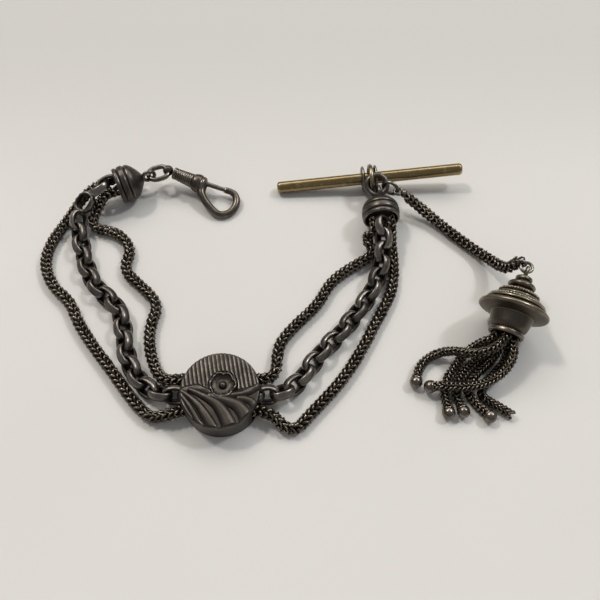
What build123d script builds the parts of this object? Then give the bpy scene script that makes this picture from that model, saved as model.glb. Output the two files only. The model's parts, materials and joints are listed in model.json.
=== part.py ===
"""Lady's three-strand watch chain: slide, swivel, T-bar and tassel, laid out flat.

Millimetres, +Z up. The origin is the middle of the slide's back, on the surface that the chain lies on.
X runs along the strands through the slide, and Y from the slide towards the bell caps.
"""
import os
from math import asin, cos, degrees, radians, sin, sqrt, tan

from build123d import *

os.makedirs("parts", exist_ok=True)

# ------------------------------------------------------------------ shared
LIE = 0.03                 # air under every piece that lies on the surface
FLEX_GAP = 0.8             # opening of a woven strand at the slide and in the tassel chain
FLEX_OPENING = 1.0         # opening of a woven strand at its flexing station
WIRE_SIDES = 6             # flats of a bent wire's section
BALL_BANDS = 6             # flat bands of a ball, from pole to pole

# ------------------------------------------------------------------ woven strands
WOVEN_WIDTH = 2.1
WOVEN_SIDES = 8
WOVEN_Z = WOVEN_WIDTH / 2 + LIE
# Run of each route, counted from the slide, that a woven strand flexes in.
LEFT_INNER_FLEX_RUN = 4
LEFT_OUTER_FLEX_RUN = 5
RIGHT_INNER_FLEX_RUN = 5
RIGHT_OUTER_FLEX_RUN = 5
CHAIN_UPPER_FLEX_RUN = 1   # of the tassel chain, counted from the top ring
CHAIN_LOWER_FLEX_RUN = 2   # of the tassel chain, counted from its upper opening

# ------------------------------------------------------------------ belcher chain
LINK_PITCH = 2.8
LINK_WIDTH = 0.8           # width of the band that a link is bent from
LINK_WALL = 0.38
LINK_PLAY = 0.3            # between two interlinked links, in line
LINK_SIDES = 12
LINK_BORE = (LINK_PITCH**2 + LINK_WIDTH**2 / 4 - LINK_PLAY**2) / (2 * (LINK_PITCH - LINK_PLAY))
LINK_RADIUS = LINK_BORE + LINK_WALL
LINK_REACH = (LINK_RADIUS + LINK_WIDTH / 2) * sin(radians(45))
LINK_Z = LINK_REACH + LIE
MIDDLE_LINKS = 7           # links that lie inside the slide
LEFT_FLEX_LINK = 8         # last link, counted from the slide, before the belcher chain flexes
RIGHT_FLEX_LINK = 8

# ------------------------------------------------------------------ slide
SLIDE_RADIUS = 7.2
SLIDE_WALL = 0.5
BACK_THICK = 0.5
FACE_THICK = 0.5
STRAND_SPACING = 3.0       # belcher chain to woven strand, centre to centre
STRAND_AIR = 0.15          # around the strands inside the slide
LINTEL = 0.3               # wall left over each side mouth
CHANNEL_Z = BACK_THICK + STRAND_AIR + LINK_REACH
CASE_TOP = CHANNEL_Z + LINK_REACH + STRAND_AIR + LINTEL
FACE_TOP = CASE_TOP + FACE_THICK
FLOWER_FLOOR = FACE_TOP + 0.3  # floor of the flower's middle, which the bead sits on
MOUTH_WIDTH = 2 * (STRAND_SPACING + WOVEN_WIDTH / 2 + 2 * STRAND_AIR)
FLUTE_PITCH = 0.75
FLUTE_WIDTH = 0.56
FLUTE_HEIGHT = 0.24
FLUTE_LEAN = 11            # degrees
FLUTE_COUNT = 19
RIM_WIDTH = 0.35
FLOWER_PETALS = 6
FLOWER_RADIUS = 1.45       # to the petals' centres
PETAL_RADIUS = 0.72
FLOWER_HEIGHT = 0.75
FLOWER_BEAD_RADIUS = 0.6
BEAD_BANDS = 3             # flat bands of the bead, from its foot to its top
PETAL_STEP = 0.15          # step round the petals' crown, in and down
FLOWER_PLACE = (0.2, 0.9)
LOBE_HEIGHT = 0.5
LOBE_TAPER = 35            # degrees

# ------------------------------------------------------------------ bell caps
CAP_RADIUS = 3.9
CAP_WALL = 0.5
CAP_RIM_LENGTH = 1.0
CAP_RIM_INSET = 0.1        # rim, below the bands
CAP_GROOVE_LENGTH = 0.3    # before the first band
CAP_GROOVE_DEPTH = 0.3
CAP_BAND_LENGTH = 1.0      # of each of the two raised bands
CAP_BAND_SPACING = 1.7     # from one band to the next
CAP_BAND_FLAT = 0.4        # on a band's crown
CAP_FLARE_START = 4.2
CAP_FLARE_END = 5.2
CAP_FLARE_RADIUS = 2.2     # where the flare meets the neck's cone
CAP_FLARE_BULGE = 0.15
CAP_CAVITY = 2.6
CAP_LENGTH = 7.2
CAP_NECK_LENGTH = 0.8
CAP_NECK_RADIUS = 0.75
CAP_Z = CAP_RADIUS + LIE
EYE_RADIUS = 1.25          # to the middle of the wire
EYE_WIRE = 0.75
STRAND_ENTRY = 0.8         # how far the strands reach into a cap
STRAND_LEAD = 1.6          # straight stretch of a strand before a cap
ENTRY_SPREAD = 1.75        # belcher chain to woven strand in a cap's mouth, across
WOVEN_DROP = 1.0           # woven strands below a cap's axis
BELCHER_RISE = 1.55        # belcher chain above a cap's axis
LEFT_CAP_MOUTH = (-25.9, 45.4)
LEFT_CAP_TURN = 24         # degrees, from +X
RIGHT_CAP_MOUTH = (31.2, 35.87)
RIGHT_CAP_TURN = 92

# ------------------------------------------------------------------ swivel
OVAL_LENGTH = 4.3          # of the oval ring, between its ends' wire centres
OVAL_WIDTH = 3.2
OVAL_WIRE = 0.7
OVAL_TURN = 20             # degrees, from +X
BALL_EYE_RADIUS = 1.15
BALL_EYE_BORE = 0.62
SWIVEL_TURN = -21          # degrees, from +X
SWIVEL_DROP = 10.1         # degrees, down towards the hook
HOOK_ROLL = 8.3            # degrees, about the swivel's axis, so that the loop lies on the surface
SHANK_RADIUS = 0.38
SHANK_PLAY = 0.06
SHANK_HEAD_RADIUS = 0.62
SHANK_HEAD_LENGTH = 0.5
BARREL_START = 1.35        # from the ball's middle
BARREL_LENGTH = 6.4
BARREL_TOP_RADIUS = 0.85
BARREL_END_RADIUS = 1.55
BARREL_LIP = 0.64          # length of the band at either end
BARREL_TOP_STEP = 0.1      # from the cone out to the top band
BARREL_END_STEP = 0.15     # from the cone out to the end band
BARREL_CAVITY_RADIUS = 0.85
BARREL_CAVITY_LENGTH = 4.6
COLLAR_LENGTH = 0.9
COLLAR_RADIUS = 1.5
HOOK_WIRE = 1.4
GATE_WIDTH = 1.0
GATE_LENGTH = 4.6
GATE_SLOT_PLAY = 0.12
GATE_PIN_RADIUS = 0.25
SPRING_THICK = 0.15
SPRING_WIDTH = 0.8
SPRING_LENGTH = 3.2

# ------------------------------------------------------------------ T-bar
BAR_CENTRE = (29.3, 49.1)
BAR_TURN = 4               # degrees, from +X
BAR_LENGTH = 40.0
BAR_RADIUS = 1.25
BAR_TIP_CHAMFER = 0.25
BAR_COLLAR_RADIUS = 2.75
BAR_COLLAR_LENGTH = 0.75
BAR_COLLAR_SPACING = 2.7
BAR_RING_RADIUS = 3.0      # to the middle of the wire
BAR_RING_WIRE = 0.8
BAR_RING_HANG = 1.11       # how far it hangs forward off the bar
BAR_RING_SHIFT = 0.22      # along X, from the bar's middle
BAR_TILT = degrees(asin((BAR_COLLAR_RADIUS - BAR_RADIUS) / (BAR_LENGTH / 2)))
BAR_Z = BAR_COLLAR_RADIUS + LIE

# ------------------------------------------------------------------ rings at the T-bar
JUMP_RING_RADIUS = 2.1
JUMP_RING_WIRE = 0.75
JUMP_RING_TILT = 27.5      # degrees, its far side up
JUMP_RING_PLACE = (-0.32, 1.45, 0.76)  # of its middle, from the right cap's eye
TOP_RING_RADIUS = 1.7
TOP_RING_WIRE = 0.6
TOP_RING_TURN = -28.7      # degrees, from +X
TOP_RING_PLACE = (2.79, -0.88, 0.15)   # of its middle, from the jump ring's

# ------------------------------------------------------------------ tassel
END_LOOP_RADIUS = 0.9
END_LOOP_WIRE = 0.6
END_LOOP_SEAT = 0.15       # from the held wire's middle to the loop's
TOP_LOOP_TURN = -25        # degrees, from +X
LOWER_LOOP_TURN = 128
LOWER_RING_RADIUS = 1.1
LOWER_RING_WIRE = 0.65
LOWER_RING_TURN = 80       # degrees, from +X, of the ring's middle seen from the head's eye
HEAD_EYE_RADIUS = 0.95
HEAD_EYE_WIRE = 0.6
HEAD_TOP = (56.8, 21.3)
HEAD_TURN = -112.6         # degrees, from +X, towards the fringe
HEAD_TILT = 13.8           # degrees, down towards the fringe
STEM_RADIUS = 1.9
STEM_LENGTH = 3.2
STEM_TOP_RADIUS = 1.5
STEM_FOOT_RADIUS = 2.5
STEM_CHAMFER = 0.4
KNOP_START = 1.55          # of the knop round the stem
KNOP_LENGTH = 1.05
KNOP_RADIUS = 2.5
BEADED_RADIUS = 4.0
BEADED_LENGTH = 1.2
BEADED_LEDGE = 0.2         # step from the beaded ring out to the upper disc
DISC_LIP = 0.4             # rounding of the discs' rims, across
UPPER_DISC_RADIUS = 6.1
UPPER_DISC_SHOULDER = 5.2
UPPER_DISC_LENGTH = 2.0
LOWER_DISC_RADIUS = 6.6
LOWER_DISC_LENGTH = 1.6
CUP_LENGTH = 4.2
CUP_TOP_RADIUS = 5.0
CUP_RADIUS = 3.8           # at its waist
CUP_RIM_LENGTH = 0.9
CUP_MOUTH_RADIUS = 3.05
CUP_WALL = 0.35
CUP_CAVITY = 1.6
FRINGE_WIDTH = 1.5
FRINGE_SIDES = 6
FRINGE_ENTRY = 0.8
FRINGE_Z = FRINGE_WIDTH / 2 + LIE
FRINGE_BALL_RADIUS = 1.2
FRINGE_CROSS_Z = FRINGE_Z + FRINGE_WIDTH + 0.35
FRINGE_CIRCLE = 1.75       # of the strands in the cup's mouth
FRINGE_LEAD = 0.9          # straight stretch of a strand past the mouth
BALL_SOCKET = 0.55         # depth of the socket in a ball
SOCKET_PLAY = 0.05
BALL_Z = FRINGE_BALL_RADIUS + LIE


# ================================================================== helpers
def save(piece, name):
    """Label a finished piece and write it under its own name."""
    piece.label = name
    export_step(piece, f"parts/{name}.step")


def level_plane(origin, along):
    """Plane across a run, its X level, so that a section keeps a flat side down."""
    along = Vector(along)
    return Plane(origin=origin, x_dir=Vector(0, 0, 1).cross(along), z_dir=along)


def heading(turn, drop=0):
    """Unit direction from a turn about +Z and a drop below the level, in degrees."""
    level = cos(radians(drop))
    return Vector(level * cos(radians(turn)), level * sin(radians(turn)), -sin(radians(drop)))


def seat_plane(place, along):
    """Seat of a turned piece: Z along its axis, X level and across it."""
    along = Vector(along)
    return Plane(origin=place, x_dir=along.cross(Vector(0, 0, 1)), z_dir=along)


def turning_plane(seat):
    """Plane to draw a turned piece's half outline in: X along its axis, Y outwards."""
    return Plane(origin=seat.origin, x_dir=seat.z_dir, z_dir=seat.x_dir)


def axis_of(seat):
    return Axis(seat.origin, seat.z_dir)


def route_radii(points):
    """Radius of each corner: as large as its two runs allow."""
    radii = []
    for before, here, after in zip(points, points[1:], points[2:]):
        run_in = Vector(here) - Vector(before)
        run_out = Vector(after) - Vector(here)
        half_turn = radians(run_in.get_angle(run_out)) / 2
        radii.append(0.45 * min(run_in.length, run_out.length) / tan(half_turn))
    return radii


def route_of(points):
    """Straight runs joined by tangent arcs."""
    with BuildLine() as route:
        FilletPolyline(*points, radius=route_radii(points))
    return route.wire()


def parted(points, run, gap=FLEX_GAP):
    """Part a route in the middle of one of its runs, leaving a gap for the strand to flex."""
    start, end = Vector(points[run]), Vector(points[run + 1])
    half_gap = (end - start).normalized() * (gap / 2)
    middle = (start + end) / 2
    return points[: run + 1] + [tuple(middle - half_gap)], [tuple(middle + half_gap)] + points[run + 1:]


def strand(points, width, sides):
    """Woven strand: its outer shape, swept along its route."""
    route = route_of(points)
    with BuildPart() as run:
        with BuildSketch(level_plane(route @ 0, route % 0)):
            RegularPolygon(width / 2, sides, major_radius=False, rotation=180 / sides)
        sweep(path=route)
    return run.part


def wire_ring(centre, axis, radius, wire):
    """Closed ring of round wire. The radius is to the middle of the wire."""
    seat = Plane(origin=centre, z_dir=axis)
    with BuildPart() as ring:
        with BuildSketch(turning_plane(seat)):
            with Locations((0, radius)):
                RegularPolygon(wire / 2, WIRE_SIDES)
        revolve(axis=axis_of(seat))
    return ring.part


def banded_arc(radius, sweep_angle, bands):
    """Places round the origin, from +X, that turn an arc into flat bands."""
    turns = [radians(sweep_angle * number / bands) for number in range(bands + 1)]
    return [(radius * cos(turn), radius * sin(turn)) for turn in turns]


def belcher_links(places, first_roll):
    """Interlinked ring links, each rolled a quarter turn from the one before."""
    with BuildPart() as links:
        for number, (middle, along) in enumerate(places):
            side = along.cross(Vector(0, 0, 1)).normalized()
            up = side.cross(along)
            roll = first_roll if number % 2 == 0 else -first_roll
            with BuildSketch(Plane(origin=middle, x_dir=along, z_dir=side + up * roll)):
                RegularPolygon(LINK_RADIUS, LINK_SIDES)
                RegularPolygon(LINK_BORE, LINK_SIDES, major_radius=False, mode=Mode.SUBTRACT)
            extrude(amount=LINK_WIDTH / 2, both=True)
    return links.part


def link_places(points, first, last):
    """Middle and direction of links first to last, counted along a route from its start."""
    route = route_of(points)
    places = []
    for number in range(first, last + 1):
        middle = number * LINK_PITCH
        behind = route @ ((middle - LINK_PITCH / 2) / route.length)
        ahead = route @ ((middle + LINK_PITCH / 2) / route.length)
        places.append(((behind + ahead) / 2, (ahead - behind).normalized()))
    return places


def link_count(points):
    return int(route_of(points).length / LINK_PITCH)


# ================================================================== slide
with BuildPart() as slide_back:
    with BuildSketch(Plane.XY.offset(LIE)):
        Circle(SLIDE_RADIUS)
    extrude(amount=BACK_THICK - LIE)
    chamfer(slide_back.edges().group_by(Axis.Z)[0], BACK_THICK / 4)
save(slide_back.part, "slide_back")

with BuildPart() as slide_case:
    with BuildSketch(Plane.XY.offset(BACK_THICK)):
        Circle(SLIDE_RADIUS)
        Circle(SLIDE_RADIUS - SLIDE_WALL, mode=Mode.SUBTRACT)
    extrude(amount=CASE_TOP - BACK_THICK)
    with BuildSketch(Plane.XY.offset(BACK_THICK)):
        Rectangle(2 * SLIDE_RADIUS, MOUTH_WIDTH)
    extrude(amount=CASE_TOP - LINTEL - BACK_THICK, mode=Mode.SUBTRACT)
save(slide_case.part, "slide_case")

# The drapery's folds: the two tips of each fold, then its upper and its lower belly.
FOLDS = [
    ((-6.6, 0.2), (-1.3, -1.5), (-3.6, 0.95), (-3.9, -0.45)),
    ((-6.6, -0.4), (2.9, -5.7), (-0.7, -1.7), (-2.2, -2.9)),
    ((-6.4, -1.2), (0.5, -6.4), (-2.6, -3.2), (-3.4, -4.1)),
    ((-5.9, -2.6), (-1.9, -6.3), (-3.7, -4.3), (-4.3, -5.0)),
    ((0.3, -1.8), (5.3, -3.9), (3.3, -1.4), (2.6, -3.3)),
    ((2.4, -0.5), (6.6, 0.9), (4.9, -1.4), (4.6, 0.3)),
]
DRAPERY_EDGE = [
    (-SLIDE_RADIUS, 0.3), (-3.7, 1.25), (-0.9, -0.6), (2.3, -0.1), (4.7, 0.5), (SLIDE_RADIUS, 1.4),
]

with BuildPart() as slide_face:
    with BuildSketch(Plane.XY.offset(CASE_TOP)):
        Circle(SLIDE_RADIUS)
    extrude(amount=FACE_THICK)
    with BuildSketch(Plane.XY.offset(FACE_TOP)):
        with Locations(Rotation(0, 0, FLUTE_LEAN)):
            with GridLocations(FLUTE_PITCH, 0, FLUTE_COUNT, 1):
                Rectangle(FLUTE_WIDTH, 2 * SLIDE_RADIUS)
        Circle(SLIDE_RADIUS - RIM_WIDTH, mode=Mode.INTERSECT)
        with BuildLine():
            drapery = Spline(*DRAPERY_EDGE)
            Polyline(drapery @ 1, (SLIDE_RADIUS, -SLIDE_RADIUS), (-SLIDE_RADIUS, -SLIDE_RADIUS), drapery @ 0)
        make_face(mode=Mode.SUBTRACT)
        with Locations(FLOWER_PLACE):
            Circle(FLOWER_RADIUS + PETAL_RADIUS + STRAND_AIR, mode=Mode.SUBTRACT)
    extrude(amount=FLUTE_HEIGHT)
    for tip, end, upper, lower in FOLDS:
        with BuildSketch(Plane.XY.offset(FACE_TOP)):
            with BuildLine():
                ThreePointArc(tip, upper, end)
                ThreePointArc(tip, lower, end)
            make_face()
        extrude(amount=LOBE_HEIGHT, taper=LOBE_TAPER)
save(slide_face.part, "slide_face")

with BuildPart() as slide_flower:
    for inset, height in ((0, FLOWER_HEIGHT - PETAL_STEP), (PETAL_STEP, FLOWER_HEIGHT)):
        with BuildSketch(Plane.XY.offset(FACE_TOP)):
            with Locations(FLOWER_PLACE):
                Circle(FLOWER_RADIUS)
                with PolarLocations(FLOWER_RADIUS, FLOWER_PETALS):
                    Circle(PETAL_RADIUS - inset)
        extrude(amount=height)
    with BuildSketch(Plane.XY.offset(FLOWER_FLOOR)):
        with Locations(FLOWER_PLACE):
            Circle(FLOWER_BEAD_RADIUS + STRAND_AIR)
    extrude(amount=FLOWER_HEIGHT, mode=Mode.SUBTRACT)
save(slide_flower.part, "slide_flower")

with BuildPart() as slide_flower_bead:
    with BuildSketch(Plane(origin=(*FLOWER_PLACE, FLOWER_FLOOR), x_dir=(1, 0, 0), z_dir=(0, -1, 0))):
        with BuildLine():
            Polyline((0, 0), *banded_arc(FLOWER_BEAD_RADIUS, 90, BEAD_BANDS), close=True)
        make_face()
    revolve(axis=Axis((*FLOWER_PLACE, 0), (0, 0, 1)))
save(slide_flower_bead.part, "slide_flower_bead")


# ================================================================== bell caps
def bell_cap(seat):
    """Bell cap with bands, a hollow mouth and a wire eye, its axis along the seat."""
    with BuildPart() as cap:
        with BuildSketch(turning_plane(seat)):
            with BuildLine():
                rim = CAP_RADIUS - CAP_RIM_INSET
                groove = CAP_RADIUS - CAP_GROOVE_DEPTH
                cavity = CAP_RADIUS - CAP_RIM_INSET - CAP_WALL
                slope = (CAP_BAND_LENGTH - CAP_BAND_FLAT) / 2
                outline = [
                    (CAP_CAVITY, 0), (CAP_CAVITY, cavity), (0, cavity), (0, rim), (CAP_RIM_LENGTH, rim),
                    (CAP_RIM_LENGTH, groove),
                ]
                for number in range(2):
                    band = CAP_RIM_LENGTH + CAP_GROOVE_LENGTH + number * CAP_BAND_SPACING
                    outline += [
                        (band, groove), (band + slope, CAP_RADIUS),
                        (band + slope + CAP_BAND_FLAT, CAP_RADIUS), (band + CAP_BAND_LENGTH, groove),
                    ]
                flare = (CAP_FLARE_START + CAP_FLARE_END) / 2
                outline += [
                    (CAP_FLARE_START, groove), (flare, (groove + CAP_FLARE_RADIUS) / 2 + CAP_FLARE_BULGE),
                    (CAP_FLARE_END, CAP_FLARE_RADIUS), (CAP_LENGTH - CAP_NECK_LENGTH, CAP_NECK_RADIUS),
                    (CAP_LENGTH, CAP_NECK_RADIUS), (CAP_LENGTH, 0),
                ]
                Polyline(*outline, close=True)
            make_face()
        revolve(axis=axis_of(seat))
        eye_seat = Plane(origin=seat.origin + seat.z_dir * (CAP_LENGTH + EYE_RADIUS), z_dir=seat.x_dir)
        with BuildSketch(turning_plane(eye_seat)):
            with Locations((0, EYE_RADIUS)):
                RegularPolygon(EYE_WIRE / 2, WIRE_SIDES)
        revolve(axis=axis_of(eye_seat))
    return cap.part


def cap_mouth(seat, across, rise, depth=0.0):
    """Place in a cap's mouth: across the axis, above it, and in along it."""
    return tuple(seat.origin + seat.x_dir * across + Vector(0, 0, rise) + seat.z_dir * depth)


left_cap_seat = seat_plane((*LEFT_CAP_MOUTH, CAP_Z), heading(LEFT_CAP_TURN))
right_cap_seat = seat_plane((*RIGHT_CAP_MOUTH, CAP_Z), heading(RIGHT_CAP_TURN))
save(bell_cap(left_cap_seat), "left_cap")
save(bell_cap(right_cap_seat), "right_cap")


# ================================================================== strands
# A strand's route is a list of hand-chosen places. Its last two enter the cap along its axis.
def entry(seat, across, rise):
    """The last two places of a route, straight into a cap's mouth."""
    return [cap_mouth(seat, across, rise, -STRAND_LEAD), cap_mouth(seat, across, rise, STRAND_ENTRY)]


middle_reach = MIDDLE_LINKS * LINK_PITCH / 2
strand_start = middle_reach + FLEX_GAP / 2
left_inner = [
    (-strand_start, STRAND_SPACING, CHANNEL_Z), (-11.8, 3.2, CHANNEL_Z), (-13.5, 5.4, WOVEN_Z),
    (-14.6, 9.4, WOVEN_Z),
    (-14.7, 14.4, WOVEN_Z), (-13.6, 19.0, WOVEN_Z), (-17.4, 23.2, WOVEN_Z), (-21.4, 26.8, WOVEN_Z),
    (-20.4, 32.2, WOVEN_Z), (-24.0, 35.8, WOVEN_Z), (-27.6, 37.6, WOVEN_Z), (-28.4, 41.4, 2.2),
] + entry(left_cap_seat, ENTRY_SPREAD, -WOVEN_DROP)
left_centre = [
    (-middle_reach + LINK_PITCH / 2, 0, CHANNEL_Z), (-11.6, 0, CHANNEL_Z), (-15.4, 2.6, LINK_Z),
    (-18.4, 7.6, LINK_Z), (-19.6, 13.4, LINK_Z), (-21.0, 18.4, LINK_Z), (-25.6, 21.8, LINK_Z),
    (-28.4, 26.0, LINK_Z), (-30.4, 31.6, LINK_Z), (-32.0, 37.0, 2.6), (-31.4, 41.6, 4.4),
] + entry(left_cap_seat, 0, BELCHER_RISE)
left_outer = [
    (-strand_start, -STRAND_SPACING, CHANNEL_Z), (-13.8, -3.0, WOVEN_Z), (-17.6, 0.8, WOVEN_Z),
    (-21.2, 5.6, WOVEN_Z), (-25.0, 10.0, WOVEN_Z), (-28.6, 14.8, WOVEN_Z), (-31.0, 19.6, WOVEN_Z),
    (-35.4, 23.4, WOVEN_Z), (-37.8, 28.6, WOVEN_Z), (-37.2, 34.2, WOVEN_Z), (-34.6, 39.8, WOVEN_Z),
    (-31.4, 44.6, 2.0),
] + entry(left_cap_seat, -ENTRY_SPREAD, -WOVEN_DROP)
right_inner = [
    (strand_start, STRAND_SPACING, CHANNEL_Z), (11.5, 3.3, CHANNEL_Z), (12.6, 4.9, WOVEN_Z),
    (12.5, 8.0, WOVEN_Z), (12.0, 11.4, WOVEN_Z),
    (14.6, 15.4, WOVEN_Z), (18.2, 19.4, WOVEN_Z), (20.6, 24.2, WOVEN_Z), (25.2, 28.0, WOVEN_Z),
    (28.8, 30.8, 1.8),
] + entry(right_cap_seat, -ENTRY_SPREAD, -WOVEN_DROP)
right_centre = [
    (middle_reach - LINK_PITCH / 2, 0, CHANNEL_Z), (11.6, 0.2, CHANNEL_Z), (14.8, 3.4, LINK_Z),
    (17.9, 8.4, LINK_Z), (22.0, 12.4, LINK_Z), (25.4, 17.0, LINK_Z), (28.6, 21.6, LINK_Z),
    (30.7, 27.0, 2.6), (31.2, 31.6, 4.6),
] + entry(right_cap_seat, 0, BELCHER_RISE)
right_outer = [
    (strand_start, -STRAND_SPACING, CHANNEL_Z), (11.8, -3.3, CHANNEL_Z), (13.9, -4.6, WOVEN_Z),
    (17.6, -1.8, WOVEN_Z),
    (22.2, 3.2, WOVEN_Z), (26.0, 9.2, WOVEN_Z), (29.4, 15.8, WOVEN_Z), (32.8, 21.8, WOVEN_Z),
    (34.4, 28.0, WOVEN_Z), (33.8, 32.0, 1.9),
] + entry(right_cap_seat, ENTRY_SPREAD, -WOVEN_DROP)

for name, across in (("inner_strand_middle", STRAND_SPACING), ("outer_strand_middle", -STRAND_SPACING)):
    middle_end = middle_reach - FLEX_GAP / 2
    ends = [(-middle_end, across, CHANNEL_Z), (middle_end, across, CHANNEL_Z)]
    with BuildPart() as middle_run:
        with BuildSketch(level_plane(ends[0], (1, 0, 0))):
            RegularPolygon(WOVEN_WIDTH / 2, WOVEN_SIDES, major_radius=False, rotation=180 / WOVEN_SIDES)
        extrude(amount=2 * middle_end)
    save(middle_run.part, name)

# Each woven strand flexes at one station of its own: the run that it is parted in.
for name, route, run in (
    ("left_inner_strand", left_inner, LEFT_INNER_FLEX_RUN),
    ("left_outer_strand", left_outer, LEFT_OUTER_FLEX_RUN),
    ("right_inner_strand", right_inner, RIGHT_INNER_FLEX_RUN),
    ("right_outer_strand", right_outer, RIGHT_OUTER_FLEX_RUN),
):
    lower, upper = parted(route, run, FLEX_OPENING)
    save(strand(lower, WOVEN_WIDTH, WOVEN_SIDES), f"{name}_lower")
    save(strand(upper, WOVEN_WIDTH, WOVEN_SIDES), f"{name}_upper")

# The belcher chain flexes between two of its links.
middle_places = [
    (Vector((number - MIDDLE_LINKS // 2) * LINK_PITCH, 0, CHANNEL_Z), Vector(1, 0, 0))
    for number in range(MIDDLE_LINKS)
]
save(belcher_links(middle_places, 1), "belcher_chain_middle")
for name, route, flex_link in (
    ("left_belcher_chain", left_centre, LEFT_FLEX_LINK),
    ("right_belcher_chain", right_centre, RIGHT_FLEX_LINK),
):
    first_roll = 1 if name.startswith("left") else -1
    flex_roll = first_roll if flex_link % 2 == 0 else -first_roll
    lower = link_places(route, 1, flex_link)
    upper = link_places(route, flex_link + 1, link_count(route))
    save(belcher_links(lower, first_roll), f"{name}_lower")
    save(belcher_links(upper, flex_roll), f"{name}_upper")


# ================================================================== swivel
# The oval ring lies level through the left cap's eye and the ball eye of the swivel.
oval_middle_left = left_cap_seat.origin + left_cap_seat.z_dir * (CAP_LENGTH + EYE_RADIUS)
oval_along = heading(OVAL_TURN)
oval_plane = Plane(origin=oval_middle_left + oval_along * (OVAL_LENGTH / 2), x_dir=oval_along)
with BuildPart() as oval_ring:
    with BuildLine(oval_plane) as oval_line:
        half_straight = (OVAL_LENGTH - OVAL_WIDTH) / 2
        half_width = OVAL_WIDTH / 2
        Line((0, -half_width), (half_straight, -half_width))
        ThreePointArc((half_straight, -half_width), (OVAL_LENGTH / 2, 0), (half_straight, half_width))
        Line((half_straight, half_width), (-half_straight, half_width))
        ThreePointArc((-half_straight, half_width), (-OVAL_LENGTH / 2, 0), (-half_straight, -half_width))
        Line((-half_straight, -half_width), (0, -half_width))
    oval_wire = oval_line.wire()
    with BuildSketch(level_plane(oval_wire @ 0, oval_wire % 0)):
        RegularPolygon(OVAL_WIRE / 2, WIRE_SIDES)
    sweep(path=oval_wire)
save(oval_ring.part, "oval_ring")

ball_middle = oval_middle_left + oval_along * OVAL_LENGTH
swivel_along = heading(SWIVEL_TURN, SWIVEL_DROP)
swivel_seat = seat_plane(ball_middle, swivel_along)
barrel_cavity_start = BARREL_START + BARREL_LENGTH - BARREL_CAVITY_LENGTH
shank_end = barrel_cavity_start + SHANK_PLAY + SHANK_HEAD_LENGTH
with BuildPart() as swivel_pin:
    with BuildSketch(turning_plane(swivel_seat)):
        with BuildLine():
            neck_turn = degrees(asin(SHANK_RADIUS / BALL_EYE_RADIUS))
            ball = [(-x, y) for x, y in banded_arc(BALL_EYE_RADIUS, 180 - neck_turn, BALL_BANDS)]
            Polyline(*ball, (barrel_cavity_start + SHANK_PLAY, SHANK_RADIUS),
                     (barrel_cavity_start + SHANK_PLAY, SHANK_HEAD_RADIUS), (shank_end, SHANK_HEAD_RADIUS),
                     (shank_end, 0), close=True)
        make_face()
    revolve(axis=axis_of(swivel_seat))
    with BuildSketch(Plane(origin=ball_middle, z_dir=oval_plane.y_dir)):
        Circle(BALL_EYE_BORE)
    extrude(amount=2 * BALL_EYE_RADIUS, both=True, mode=Mode.SUBTRACT)
save(swivel_pin.part, "swivel_ball_pin")

barrel_end = BARREL_START + BARREL_LENGTH
with BuildPart() as swivel_barrel:
    with BuildSketch(turning_plane(swivel_seat)):
        with BuildLine():
            Polyline((BARREL_START, SHANK_RADIUS + SHANK_PLAY), (BARREL_START, BARREL_TOP_RADIUS),
                     (BARREL_START + BARREL_LIP, BARREL_TOP_RADIUS),
                     (BARREL_START + BARREL_LIP, BARREL_TOP_RADIUS - BARREL_TOP_STEP),
                     (barrel_end - BARREL_LIP, BARREL_END_RADIUS - BARREL_END_STEP),
                     (barrel_end - BARREL_LIP, BARREL_END_RADIUS),
                     (barrel_end, BARREL_END_RADIUS), (barrel_end, BARREL_CAVITY_RADIUS),
                     (barrel_cavity_start, SHANK_HEAD_RADIUS + SHANK_PLAY),
                     (barrel_cavity_start, SHANK_RADIUS + SHANK_PLAY),
                     (BARREL_START, SHANK_RADIUS + SHANK_PLAY))
        make_face()
    revolve(axis=axis_of(swivel_seat))
save(swivel_barrel.part, "swivel_barrel")

# The hook is drawn in the plane of its loop: X along the swivel's axis, Y across it.
hook_normal = (swivel_along.cross(swivel_seat.x_dir) * -1).rotate(Axis((0, 0, 0), swivel_along), HOOK_ROLL)
hook_origin = swivel_seat.origin + swivel_along * barrel_end
hook_plane = Plane(origin=hook_origin, x_dir=swivel_along, z_dir=hook_normal)
GATE_PIVOT = (COLLAR_LENGTH * 0.69, 0.62)
HOOK_NOSE = (GATE_PIVOT[0] + GATE_LENGTH + GATE_SLOT_PLAY, 1.0)
HOOK_ROUTE = [(COLLAR_LENGTH / 2, -0.55), (6.1, -5.6), (9.0, -2.0), (7.0, 1.35), HOOK_NOSE]
HOOK_BENDS = [1.9, 1.9, 1.5]
slot_floor = GATE_PIVOT[1] - 0.77
slot_half = GATE_WIDTH / 2 + GATE_SLOT_PLAY
with BuildPart() as swivel_hook:
    with BuildSketch(Plane(origin=hook_plane.origin, z_dir=swivel_along)):
        Circle(COLLAR_RADIUS)
    extrude(amount=COLLAR_LENGTH)
    with BuildLine(hook_plane) as hook_line:
        FilletPolyline(*HOOK_ROUTE, radius=HOOK_BENDS)
    hook_wire = hook_line.wire()
    with BuildSketch(level_plane(hook_wire @ 0, hook_wire % 0)):
        RegularPolygon(HOOK_WIRE / 2, WOVEN_SIDES)
    sweep(path=hook_wire)
    with BuildSketch(hook_plane):
        with Locations((0, slot_floor)):
            Rectangle(2 * COLLAR_LENGTH + 0.1, 2 * COLLAR_RADIUS, align=(Align.CENTER, Align.MIN))
    extrude(amount=slot_half, both=True, mode=Mode.SUBTRACT)
    with BuildSketch(hook_plane):
        with Locations(GATE_PIVOT):
            Circle(GATE_PIN_RADIUS)
    extrude(amount=COLLAR_RADIUS, both=True, mode=Mode.SUBTRACT)
save(swivel_hook.part, "swivel_hook")

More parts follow.
